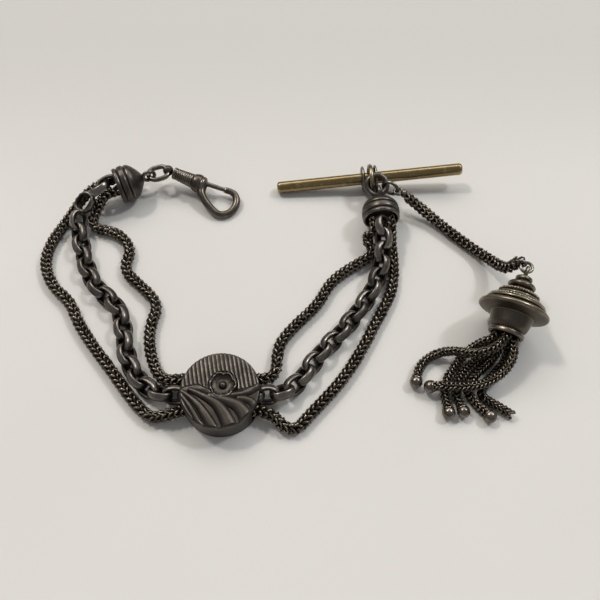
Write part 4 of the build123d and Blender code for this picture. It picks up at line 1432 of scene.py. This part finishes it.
@dataclass(frozen=True)
class BelcherLink:
    """Rounded link of heavy band, for the belcher chain. Its length lies along X, its axis along Z."""

    length: float = 2.42       # from the middle to the outside, along the chain
    breadth: float = 1.92      # the same, across the chain
    bore_length: float = 1.53
    bore_breadth: float = 1.18
    width: float = 1.7
    crown: float = 0.36
    segments: int = 36

    def carrier(self) -> bpy.types.Object:
        """Helper object with the ring's mesh about Z.

        Returns:
            The object.
        """
        half = self.width / 2
        crown = [(half * math.sin(a), self.crown * (1 - math.cos(a))) for a in
                 (math.radians(d) for d in (-84, -60, -36, -12, 12, 36, 60, 84))]
        rings = []
        for i in range(self.segments):
            turn = math.tau * i / self.segments
            outer = superellipse(turn, self.length, self.breadth, 2.3)
            inner = superellipse(turn, self.bore_length, self.bore_breadth, 4.0)
            out = outer.normalized()
            ring = [Vector((*(outer - out * sunk), off)) for off, sunk in crown]
            ring += [Vector((*inner, half * 0.86)), Vector((*inner, -half * 0.86))]
            rings.append(ring)
        mesh = Skin().rings(rings, closed=True).mesh("belcher_link", None)
        low, high = self.bore_breadth * MM, self.breadth * MM
        store_wear(mesh, [0.1 + 0.7 * smoothstep(low, high, v.co.to_2d().length) for v in mesh.vertices])
        return linked("belcher_link", mesh)


# ================================================================== bell caps
@dataclass
class BellCap:
    """Bell-shaped end cap with turned bands, a hollow mouth and a wire eye."""

    name: str
    seat: Seat
    length: float = 7.2
    radius: float = 3.9
    lip: float = 1.45          # where the mouth begins along the axis
    eye_radius: float = 1.25
    eye_wire: float = 0.8

    def build(self) -> None:
        """Make the cap."""
        r = self.radius
        lip = self.lip
        mouth = [
            (lip + 2.2, 0.0, 0), (lip + 2.3, 1.5, 0.3), (lip + 2.2, r - 0.8, 0.3), (lip + 0.2, r - 0.6, 0.1),
        ]
        bands = [
            (lip, r - 0.5, 0.08), (lip, r - 0.28, 0.12), (lip + 0.35, r - 0.1, 0.2),
            (lip + 0.75, r - 0.16, 0.15), (lip + 0.9, r - 0.36, 0.08), (lip + 1.02, r - 0.34, 0.08),
            (lip + 1.25, r - 0.02, 0.25),
            (lip + 2.15, r + 0.02, 0.4), (lip + 2.4, r - 0.28, 0.12), (lip + 2.54, r - 0.3, 0.08),
            (lip + 2.8, r - 0.1, 0.25),
        ]
        dome = [
            (lip + 3.5, r - 0.3, 0.5), (lip + 4.3, r - 1.0, 0.8), (lip + 4.9, r - 1.8, 0.6),
            (lip + 5.3, 1.5, 0.5), (self.length - 0.2, 1.05, 0.3), (self.length, 0.85, 0.2),
            (self.length, 0.0, 0),
        ]
        outline = rounded([*mouth, *bands, *dome])
        skin = Skin().turned(self.seat, outline, 96)
        eye = Seat.upon(self.seat.at(self.length + self.eye_radius), self.seat.side, UP)
        skin.wire_ring(eye, self.eye_radius, self.eye_wire)
        ridden(skin.piece(f"{self.name}_banded_bell", OXIDISED, 0.35), self.name, self.name)


# ================================================================== swivel
@dataclass
class Swivel:
    """Swivel clasp: oval ring, drilled ball, conical barrel, and hook with its gate."""

    shop: Workshop
    barrel_start: float = 1.35
    barrel_length: float = 6.4
    top_radius: float = 1.3
    end_radius: float = 1.98
    collar_length: float = 0.9
    collar_radius: float = 1.85
    hook_wire: float = 1.66
    gate_width: float = 1.0
    gate_length: float = 4.6
    oval_length: float = 4.3
    oval_width: float = 3.2
    oval_wire: float = 1.02
    grooves: int = 9
    pin_hole: float = 0.44
    hook_route: tuple[tuple[float, float], ...] = (
        (0.5, 0.1), (0.5, -1.3), (1.4, -2.5), (3.4, -3.8), (5.4, -4.75), (6.9, -4.75), (8.2, -3.7),
        (8.8, -2.0), (8.6, -0.4), (7.8, 0.8), (6.7, 1.25), (5.35, 1.05),
    )
    seat: Seat = field(init=False)
    plane: Seat = field(init=False)

    def build(self) -> None:
        """Make the clasp's pieces."""
        frame = self.shop.frame
        along = frame.axis("swivel_spin")
        self.seat = Seat.upon(frame.hinge("swivel_spin"), along)
        normal = frame.axis("gate_press")
        end = self.seat.at(self.barrel_start + self.barrel_length)
        self.plane = Seat(end, along, normal.cross(along), normal)
        self._oval()
        self._barrel()
        self._hook()
        self._gate()
        for name in ("swivel_ball_pin", "gate_pin", "gate_spring"):
            dress(frame.nodes[name], RUBBED_PLAIN)

    def _oval(self) -> None:
        """Oval ring of round wire."""
        seat = self.shop.frame.ring("oval_ring")
        half = self.oval_width / 2
        straight = self.oval_length / 2 - half
        path = []
        steps = 24
        for way, start in ((1, 0), (-1, math.pi)):
            for i in range(steps + 1):
                turn = math.radians(-90 + 180 * i / steps) + start
                path.append(seat.at(0, way * straight + half * math.cos(turn), half * math.sin(turn)))
        skin = Skin().tube(path, self.oval_wire / 2, 16, closed=True, level=seat.along)
        ridden(skin.piece("oval_ring_wire", RUBBED, 0.5), "oval_ring", "oval_ring")

    def _barrel(self) -> None:
        """Conical barrel with turned grooves and a lip at either end."""
        start, end = self.barrel_start, self.barrel_start + self.barrel_length
        top, foot = self.top_radius, self.end_radius
        corners: list[Corner] = [
            (start + 0.2, self.pin_hole, 0), (start, self.pin_hole + 0.06, 0.05), (start, top, 0.12),
            (start + 0.55, top, 0.12), (start + 0.65, top - 0.12, 0.06),
        ]
        first, last = start + 0.9, end - 2.0
        for i in range(self.grooves):
            place = first + (last - first) * i / (self.grooves - 1)
            level = top - 0.08 + (foot - 0.2 - top) * (place - start) / self.barrel_length
            corners += [
                (place - 0.13, level, 0.03), (place, level - 0.06, 0.03), (place + 0.13, level + 0.01, 0.03),
            ]
        corners += [
            (end - 1.6, foot - 0.16, 0.3), (end - 0.8, foot + 0.02, 0.3), (end - 0.12, foot, 0.2),
            (end, foot - 0.25, 0.08), (end, 1.0, 0.05), (end - 0.3, 0.9, 0),
        ]
        skin = Skin().turned(self.seat, [*rounded(corners, 3), (end - 0.3, 0.0)], 64)
        hole = [self.seat.around(start + 0.2, self.pin_hole, math.tau * i / 64) for i in range(64)]
        skin.rings([[self.seat.at(start + 0.2)], hole])
        ridden(skin.piece("swivel_turned_barrel", RUBBED, 0.25), "swivel", "swivel_barrel")

    def _on_plane(self, x: float, y: float) -> Vector:
        """Place in the plane of the hook's loop."""
        return self.plane.origin + self.plane.along * x + self.plane.side * y

    def _hook(self) -> None:
        """Teardrop hook of thick wire that rises from the collar and tapers to its nose."""
        line = Route([tuple(self._on_plane(x, y)) for x, y in self.hook_route]).line
        thick = self.hook_wire / 2

        def wire(share: float) -> float:
            """Radius of the hook's wire: thin where it leaves the collar and at the nose."""
            return thick * (1.12 - 0.14 * smoothstep(0.05, 0.3, share) - 0.16 * smoothstep(0.72, 1.0, share))

        skin = Skin().tube(line, wire, 20, level=self.plane.over)
        length, radius = self.collar_length, self.collar_radius
        outline = rounded([
            (-0.05, 0.0, 0), (-0.05, radius - 0.1, 0.1), (0.15, radius, 0.15), (length - 0.3, radius, 0.2),
            (length, radius - 0.35, 0.2), (length + 0.1, 0.5, 0.3), (length + 0.1, 0.0, 0),
        ])
        skin.turned(Seat.upon(self.plane.origin, self.plane.along), outline, 48)
        ridden(skin.piece("swivel_teardrop_hook", RUBBED, 0.5), "swivel", "swivel_hook")

    def _gate(self) -> None:
        """Sprung gate: a straight bar from its pivot to the nose."""
        pivot = self.shop.frame.hinge("gate_press")
        nose = self._on_plane(*self.hook_route[-1])
        along = (nose - pivot).normalized()
        path = [pivot + along * (self.gate_length * t / 12 - 0.1) for t in range(13)]
        half = self.gate_width / 2

        def wire(share: float) -> float:
            """Radius of the gate: full at the pivot, slimmer towards the nose."""
            return half * (1.04 - 0.1 * smoothstep(0.2, 0.9, share))

        skin = Skin().tube(path, wire, 18, level=self.plane.over)
        ridden(skin.piece("swivel_sprung_gate", RUBBED, 0.5), "gate", "swivel_gate")


# ================================================================== T-bar
@dataclass
class TBar:
    """Brass T-bar with two collars, the ring between them and the jump ring."""

    shop: Workshop
    length: float = 40.0
    radius: float = 1.25
    collar_radius: float = 2.75
    collar_length: float = 0.75
    collar_spacing: float = 2.7
    ring_radius: float = 3.0
    ring_wire: float = 0.98
    jump_radius: float = 2.1
    jump_wire: float = 1.22

    def build(self) -> None:
        """Make the bar, its collars and the two rings."""
        frame = self.shop.frame
        seat = Seat.upon(frame.hinge("t_bar_spin"), frame.axis("t_bar_spin"))
        half, r = self.length / 2, self.radius
        outline = rounded([
            (-half, 0.0, 0), (-half, r - 0.3, 0.25), (-half + 0.4, r, 0.35), (half - 0.4, r, 0.35),
            (half, r - 0.3, 0.25), (half, 0.0, 0),
        ])
        ridden(Skin().turned(seat, outline, 64).piece("t_bar_brass", BAR_BRASS, 0.2), "t_bar", "t_bar")
        thick, rim = self.collar_length / 2, self.collar_radius
        outline = rounded([
            (-thick, r - 0.05, 0), (-thick, rim - 0.55, 0.1), (-0.12, rim, 0.3),
            (0.12, rim, 0.3), (thick, rim - 0.55, 0.1), (thick, r - 0.05, 0),
        ])
        for side, way in (("left", -1), ("right", 1)):
            place = seat.shifted(way * self.collar_spacing / 2)
            skin = Skin().turned(place, [*outline, outline[0]], 64)
            ridden(skin.piece(f"bar_collar_{side}_disc", PEWTER, 0.3), "t_bar", f"bar_collar_{side}")
        ring_of_wire(frame, "bar_ring", self.ring_radius, self.ring_wire, AGED_BRASS)
        ring_of_wire(frame, "jump_ring", self.jump_radius, self.jump_wire, OXIDISED)


# ================================================================== tassel
@dataclass
class TasselChain:
    """Woven chain with a wire loop at either end, from the top ring to the tassel's own ring."""

    shop: Workshop
    loop_radius: float = 0.82
    loop_wire: float = 0.58
    loop_seat: float = 0.15
    top_turn: float = -25.0
    lower_turn: float = 150.0
    lower_fall: float = 22.0
    top_ring_radius: float = 1.7
    top_ring_wire: float = 0.68
    lower_ring_radius: float = 1.1
    lower_ring_wire: float = 0.62
    bend_reach: float = 1.5
    places: tuple[Place, ...] = (
        (38.7, 42.2, 3.0), (42.5, 39.4, 1.5), (46.9, 35.0, 1.2), (50.2, 31.9, 1.25), (52.4, 29.4, 2.0),
        (54.0, 26.4, 3.8), (55.0, 24.6, 5.8),
    )

    def build(self) -> None:
        """Make the rings, the end loops and the chain between them."""
        frame = self.shop.frame
        ring_of_wire(frame, "tassel_top_ring", self.top_ring_radius, self.top_ring_wire, OXIDISED)
        ring_of_wire(frame, "tassel_lower_ring", self.lower_ring_radius, self.lower_ring_wire, OXIDISED)
        top = self._end_loop("tassel_chain_upper", "tassel_chain_upper_turn", self.top_turn, 0.0, UP)
        low = self._end_loop("tassel_chain_lower", "lower_ring_turn", self.lower_turn, self.lower_fall)
        self._woven(Route([top, *self.places, low]))

    def _end_loop(self, body: str, joint: str, turn: float, fall: float, axis: Vector | None = None) -> Place:
        """Wire loop at an end of the chain, with a small cap where the chain starts.

        Args:
            body: The body that the loop rides on.
            joint: The joint that the loop hangs on.
            turn: The way that the chain leaves the loop, about the upright, in degrees.
            fall: How steeply it leaves downwards, in degrees.
            axis: The loop's axis, or None for a loop that stands upright.

        Returns:
            The place where the chain starts.
        """
        turn, fall = math.radians(turn), math.radians(fall)
        along = Vector((math.cos(turn) * math.cos(fall), math.sin(turn) * math.cos(fall), -math.sin(fall)))
        centre = self.shop.frame.hinge(joint) + along * self.loop_seat
        seat = Seat.upon(centre, along.cross(UP) if axis is None else axis)
        skin = Skin().wire_ring(seat, self.loop_radius, self.loop_wire, 40, 12)
        outline = rounded([
            (-0.25, 0, 0), (-0.25, 0.5, 0.1), (0.0, 0.8, 0.2), (0.5, 0.95, 0.2), (0.9, 0.7, 0.2), (0.9, 0, 0),
        ])
        skin.turned(Seat.upon(centre + along * (self.loop_radius + 0.05), along), outline, 24)
        ridden(skin.piece(f"{body}_end_loop", OXIDISED, 0.4), body)
        return tuple(centre + along * self.loop_radius)

    def _woven(self, route: Route) -> None:
        """Woven chain in two pieces, each across one of its flexing places.

        Args:
            route: The route from loop to loop.
        """
        strand = WovenStrand(self.shop, "tassel_chain", route, seed=31)
        hinges = [self.shop.frame.hinge(f"tassel_chain_{part}_flex") for part in ("middle", "lower")]
        split = sum(route.nearest(hinge)[0] for hinge in hinges) / 2
        upper = strand.stretch("tassel_chain_from_ring", 0.0, split)
        strand.bend(upper, "tassel_chain_middle_flex", self.bend_reach)
        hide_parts("tassel_chain_upper")
        lower = strand.stretch("tassel_chain_to_tassel", split, route.length())
        strand.bend(lower, "tassel_chain_lower_flex", self.bend_reach)
        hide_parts("tassel_chain_middle", "tassel_chain_lower")


@dataclass
class TasselHead:
    """Turned head of the tassel: stem with knop and eye, beaded ring, two discs and a cup."""

    shop: Workshop
    eye_radius: float = 0.96
    eye_wire: float = 0.62
    stem: float = 3.2
    beaded: float = 1.2
    upper: float = 2.0
    lower: float = 1.6
    cup: float = 4.2
    bead_count: int = 44
    bead_radius: float = 0.3
    notch_count: int = 60
    seat: Seat = field(init=False)

    def build(self) -> None:
        """Make the pieces of the head."""
        frame = self.shop.frame
        eye = frame.hinge("tassel_head_turn")
        along = (frame.hinge("fringe_sway") - eye).normalized()
        self.seat = Seat.upon(eye + along * self.eye_radius, along)
        self._stem(eye)
        self._discs()
        self._cup()
        self._beads()

    def mouth(self) -> Seat:
        """Seat at the cup's mouth."""
        return self.seat.shifted(self.stem + self.beaded + self.upper + self.lower + self.cup)

    def _turned(self, name: str, node: str, start: float, corners: Sequence[Corner]) -> None:
        """Turn one piece of the head and let it stand for its node.

        Args:
            name: Name of the piece.
            node: The node.
            start: Where the piece starts along the head's axis.
            corners: Corners of its outline, counted along the axis from its start.
        """
        outline = rounded([(start + along, out, cut) for along, out, cut in corners])
        skin = Skin().turned(self.seat, outline, 96)
        ridden(skin.piece(name, PEWTER, 0.35), "tassel_head", node)

    def _stem(self, eye: Vector) -> None:
        """Stem with a top bead, a knop and a wire eye.

        Args:
            eye: Middle of the eye.
        """
        outline = rounded([
            (0.05, 0.0, 0), (-0.05, 1.0, 0.3), (0.25, 1.55, 0.25), (0.75, 1.62, 0.25), (1.0, 1.3, 0.15),
            (1.3, 1.5, 0.15), (1.55, 2.4, 0.3), (2.05, 2.65, 0.4), (2.45, 2.4, 0.3), (2.65, 1.8, 0.15),
            (2.85, 1.85, 0.1), (3.2, 2.6, 0.2), (3.25, 0.0, 0),
        ])
        skin = Skin().turned(self.seat, outline, 72)
        skin.wire_ring(Seat.upon(eye, self.seat.side), self.eye_radius, self.eye_wire, 40, 14)
        ridden(skin.piece("tassel_turned_stem", PEWTER, 0.35), "tassel_head", "tassel_stem")

    def _discs(self) -> None:
        """Ring under the beads, upper disc with stepped mouldings and the wide lower disc."""
        self._turned("tassel_bead_seat", "tassel_beaded_ring", self.stem, [
            (-0.02, 0.0, 0), (0.0, 3.1, 0.1), (0.3, 3.45, 0.1), (0.9, 3.5, 0.1), (self.beaded, 3.95, 0.15),
            (self.beaded + 0.02, 0.0, 0),
        ])
        start = self.stem + self.beaded
        self._turned("tassel_moulded_disc", "tassel_upper_disc", start, [
            (-0.02, 0.0, 0), (0.0, 4.1, 0.1), (0.25, 4.3, 0.1), (0.4, 4.2, 0.05), (0.55, 4.65, 0.15),
            (0.9, 4.8, 0.15), (1.0, 4.7, 0.05), (1.15, 5.3, 0.2), (1.4, 5.6, 0.25), (1.68, 5.55, 0.2),
            (1.82, 5.0, 0.1), (self.upper, 4.9, 0.1), (self.upper + 0.02, 0.0, 0),
        ])
        self._turned("tassel_wide_disc", "tassel_lower_disc", start + self.upper, [
            (-0.02, 0.0, 0), (0.0, 4.9, 0.1), (0.08, 5.9, 0.12), (0.4, 6.45, 0.3), (0.8, 6.6, 0.3),
            (1.15, 6.35, 0.25), (1.4, 5.5, 0.5), (1.75, 4.2, 0.5), (1.85, 0.0, 0),
        ])

    def _cup(self) -> None:
        """Waisted cup with a rolled rim and a hollow mouth."""
        end = self.cup
        self._turned("tassel_waisted_cup", "tassel_cup", self.stem + self.beaded + self.upper + self.lower, [
            (-0.02, 0.0, 0), (0.0, 4.1, 0.3), (0.5, 3.95, 0.4), (1.5, 3.7, 0.6), (end - 1.75, 3.5, 0.6),
            (end - 1.15, 2.95, 0.2), (end - 0.95, 2.95, 0.1), (end - 0.8, 3.3, 0.2), (end - 0.2, 3.35, 0.25),
            (end, 3.0, 0.1), (end, 2.75, 0.08), (end - 1.5, 2.65, 0.3), (end - 1.6, 0.0, 0),
        ])

    def _beads(self) -> None:
        """Row of grains round the beaded ring, and a milled row round the upper disc."""
        grain = Skin()
        grain.turned(Seat.upon(Vector((0, 0, 0)), UP, Vector((1, 0, 0))), [
            (self.bead_radius * math.sin(math.radians(a)), self.bead_radius * math.cos(math.radians(a)))
            for a in (-90, -45, 0, 45, 90)
        ], 8)
        shape = linked("grain", grain.mesh("grain", 0.3))
        rows = (
            ("tassel_grain_ring", self.stem + 0.55, 3.55, self.bead_count),
            ("tassel_milled_ring", self.stem + self.beaded + 1.02, 5.02, self.notch_count),
        )
        for number, (name, along, out, count) in enumerate(rows):
            seats = []
            for i in range(count):
                place = self.seat.around(along, out, math.tau * i / count)
                seats.append(Seat.upon(place, place - self.seat.at(along), self.seat.along))
            values = {"Shape": shape, "Seed": 41 + number}
            piece = self.shop.pieces.applied(PiecesAtSeats.carrier(seats), name, values, PEWTER)
            ridden(piece, "tassel_head")
        discard(shape)


@dataclass(frozen=True)
class FringePlan:
    """A fringe strand: its angle in the cup's mouth, in degrees, and its route, up to its ball's middle."""

    angle: float
    has_ball: bool
    places: tuple[Place, ...]


@dataclass
class Fringe:
    """Six woven strands that hang out of the cup, five of them with a ball."""

    shop: Workshop
    mouth: Seat
    width: float = 1.86
    pitch: float = 0.44
    circle: float = 1.75
    entry: float = 0.8
    way_out: float = 0.9
    floor: float = 0.95
    cross: float = 2.75
    ball_radius: float = 1.2
    socket: float = 0.55

    def plans(self) -> list[FringePlan]:
        """The six strands, from the one that lifts off at the left to the bare one.

        Returns:
            The strands' plans.
        """
        low, over, ball = self.floor, self.cross, self.ball_radius + 0.03
        return [
            FringePlan(90, True, (
                (49.2, 7.3, 6.0), (46.2, 7.1, 4.5), (43.6, 8.4, 2.9), (41.0, 8.8, 1.5), (38.2, 7.6, low),
                (36.4, 5.4, low), (35.8, 2.9, ball),
            )),
            FringePlan(150, True, (
                (47.8, 9.5, 4.2), (45.3, 8.4, 1.6), (43.7, 6.3, low), (41.9, 4.0, low), (40.9, 1.6, low),
                (41.0, -0.6, low), (41.2, -3.0, ball),
            )),
            FringePlan(210, True, (
                (49.0, 8.1, 1.7), (46.6, 6.6, low), (44.8, 4.6, low), (43.3, 2.4, low), (43.0, 0.6, low),
                (43.4, -0.9, low), (43.9, -2.8, ball),
            )),
            FringePlan(30, True, (
                (53.5, 7.2, 5.0), (52.6, 5.0, 3.5), (50.0, 2.9, over + 0.2), (47.0, 1.6, over + 0.1),
                (43.8, 1.35, over), (41.6, 1.5, over), (39.9, 1.7, 2.5), (38.2, 1.8, 1.75),
            )),
            FringePlan(270, True, (
                (50.6, 7.4, 1.3), (48.2, 5.5, low), (46.2, 3.4, low), (45.2, 1.5, low), (45.8, -0.4, low),
                (47.0, -2.0, low), (48.6, -3.7, ball),
            )),
            FringePlan(330, False, (
                (52.6, 6.6, 1.6), (50.4, 4.3, low), (48.4, 2.4, low), (47.6, 0.8, low), (48.6, -0.6, low),
                (50.3, -1.7, low), (52.0, -2.9, low),
            )),
        ]

    def build(self) -> None:
        """Make the strands and their balls."""
        balls = Skin()
        for number, plan in enumerate(self.plans(), start=1):
            root = self.mouth.around(0, self.circle, math.radians(plan.angle) + math.pi)
            start = [root - self.mouth.along * self.entry, root + self.mouth.along * self.way_out]
            places = [tuple(p) for p in start] + list(plan.places)
            if plan.has_ball:
                middle = Vector(places[-1])
                arrival = (middle - Vector(places[-2])).normalized()
                places[-1] = tuple(middle - arrival * (self.ball_radius - self.socket))
                self._ball(balls, Seat.upon(middle, arrival))
            strand = WovenStrand(
                self.shop, f"fringe_{number}", Route(places), width=self.width, pitch=self.pitch,
                seed=50 + number, first_roll=45.0 + 17 * number,
            )
            piece = strand.stretch(f"fringe_woven_{number}", 0.0, strand.route.length())
            ridden(piece, "fringe", f"fringe_strand_{number}")
        ridden(balls.piece("fringe_end_balls", RUBBED, 0.6), "fringe", "fringe_balls")

    def _ball(self, skin: Skin, seat: Seat) -> None:
        """A ball with a short lip round its strand.

        Args:
            skin: The skin that the ball is added to.
            seat: Its middle, and the way that the strand arrives.
        """
        r = self.ball_radius
        lip = self.width / 2 + 0.08
        first = -math.sqrt(r * r - lip * lip)
        outline = [
            (first + 0.3, 0.0), (first - 0.12, lip * 0.85), (first - 0.16, lip), (first - 0.02, lip + 0.1),
        ]
        start = math.pi - math.atan2(lip + 0.12, -first)
        steps = 22
        for i in range(steps):
            a = start * (1 - i / steps)
            outline.append((r * math.cos(a), r * math.sin(a)))
        outline.append((r, 0.0))
        skin.turned(seat, outline, 40)


# ================================================================== studio
@dataclass(frozen=True)
class Lamp:
    """Soft square lamp: name, place and size in millimetres, power in watts, and colour."""

    name: str
    place: Place
    size: float
    watts: float
    colour: Colour


@dataclass
class Studio:
    """Pale surface, soft light and the camera."""

    eye: Place = (14.3, -39.6, 113.5)
    target: Place = (14.31, 20.73, 0.0)
    lens: float = 38.6
    paper: Colour = (0.712, 0.692, 0.656)
    paper_half: float = 900.0
    lamps: tuple[Lamp, ...] = (
        Lamp("lamp_warm", (-640, 600, 1240), 150, 6.4, (1.0, 0.955, 0.90)),
        Lamp("lamp_cool", (860, 480, 1120), 170, 6.0, (0.90, 0.95, 1.0)),
    )
    sky: tuple[tuple[float, Colour], ...] = (
        (0.0, (0.26, 0.255, 0.25)), (0.35, (0.34, 0.34, 0.34)),
        (0.8, (0.36, 0.37, 0.39)), (1.0, (0.36, 0.36, 0.37)),
    )
    window: Colour = (4.2, 4.05, 3.8)
    sky_strength: float = 0.76

    def build(self) -> None:
        """Set up the studio."""
        self._floor()
        self._lights()
        self._camera()
        bpy.context.scene.view_settings.view_transform = "Standard"

    def _floor(self) -> None:
        """Wide pale paper, with painted shade that darkens it towards the back."""
        half = self.paper_half * MM
        mesh = bpy.data.meshes.new("paper")
        corners = [Vector((x * half, y * half, 0)) for x, y in ((-1, -1), (1, -1), (1, 1), (-1, 1))]
        mesh.from_pydata(corners, [], [(0, 1, 2, 3)])
        floor = linked("paper", mesh)
        material = bpy.data.materials.new("paper")
        material.use_nodes = True
        graph = Graph(material.node_tree)
        coordinates = graph.signal("ShaderNodeTexCoord", output="Object")
        cloud = graph.signal("ShaderNodeTexNoise", {}, {"Vector": coordinates, "Scale": 14.0, "Detail": 2.0})
        far = graph.signal("ShaderNodeSeparateXYZ", {}, {"Vector": coordinates}, output="Y")
        shade, painted_far_shade = (tuple(c * share for c in self.paper) for share in (0.965, 0.85))
        colour = graph.mix(cloud.stepped(0.3, 0.7), shade, self.paper)
        # Painted shade: the paper is darkened by 15 % towards the back, standing in for light that falls off
        # there.
        colour = graph.mix(far.stepped(0.035, 0.10), colour, painted_far_shade)
        inputs = {"Base Color": colour, "Roughness": 0.95, "Specular IOR Level": 0.1}
        shader = graph.signal("ShaderNodeBsdfPrincipled", {}, inputs)
        graph.node("ShaderNodeOutputMaterial", {}, {"Surface": shader})
        mesh.materials.append(material)

    def _lights(self) -> None:
        """Two soft lamps, one warm and one cool, and an even sky."""
        middle = Vector(self.target)
        for plan in self.lamps:
            data = bpy.data.lights.new(plan.name, "AREA")
            data.size = plan.size * MM
            data.energy = plan.watts
            data.color = plan.colour
            place = Vector(plan.place)
            lamp = linked(plan.name, data)
            lamp.location = place * MM
            lamp.rotation_euler = (middle - place).to_track_quat("-Z", "Y").to_euler()
        self._sky()

    def _sky(self) -> None:
        """Even sky with a bright window high behind the chain."""
        world = bpy.data.worlds.new("sky")
        world.use_nodes = True
        bpy.context.scene.world = world
        graph = Graph(world.node_tree)
        direction = graph.signal("ShaderNodeTexCoord", output="Generated")
        height = graph.signal("ShaderNodeSeparateXYZ", {}, {"Vector": direction}, output="Z")
        behind = graph.signal("ShaderNodeSeparateXYZ", {}, {"Vector": direction}, output="Y")
        sky = graph.signal("ShaderNodeValToRGB", {"stops": self.sky}, {"Fac": height})
        window = behind.stepped(0.28, 0.5) * height.stepped(0.5, 0.6) * (1 - height.stepped(0.8, 0.88))
        sky = graph.mix(window, sky, self.window)
        shader = graph.signal("ShaderNodeBackground", {}, {"Color": sky, "Strength": self.sky_strength})
        graph.node("ShaderNodeOutputWorld", {}, {"Surface": shader})

    def _camera(self) -> None:
        """Camera over the chain, looking down at its middle."""
        data = bpy.data.cameras.new("camera")
        data.lens = self.lens
        data.sensor_width = 36.0
        data.clip_start = 0.005
        data.clip_end = 10.0
        camera = linked("camera", data)
        eye, target = Vector(self.eye) * MM, Vector(self.target) * MM
        camera.location = eye
        camera.rotation_mode = "QUATERNION"
        camera.rotation_quaternion = (target - eye).to_track_quat("-Z", "Y")
        bpy.context.scene.camera = camera


# ================================================================== whole chain
def build_chain(loaded: dict) -> None:
    """Build every sub-assembly around the loaded frame.

    Args:
        loaded: The frame, as it was loaded.
    """
    frame = Frame({j["name"]: j for j in loaded["joints"]}, loaded["nodes"])
    for node in frame.nodes.values():
        dress(node, OXIDISED_PLAIN)
    shop = Workshop(frame, LinksAlongPath(), PiecesAtSeats())
    caps = {}
    for side, mouth, eye in (
        ("left", "left_cap_turn", "oval_ring_turn"),
        ("right", "right_cap_turn", "jump_ring_turn"),
    ):
        place = frame.hinge(mouth)
        caps[side] = Seat.upon(place, frame.hinge(eye) - place)
        BellCap(f"{side}_cap", caps[side]).build()
    Slide(shop).build()
    Strands(shop, caps=caps).build()
    Swivel(shop).build()
    TBar(shop).build()
    TasselChain(shop).build()
    head = TasselHead(shop)
    head.build()
    Fringe(shop, head.mouth()).build()


def main() -> None:
    """Load the frame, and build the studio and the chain."""
    logging.basicConfig(level=logging.INFO, format="%(name)s: %(message)s")
    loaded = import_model()
    Studio().build()
    build_chain(loaded)


if __name__ == "__main__":
    main()
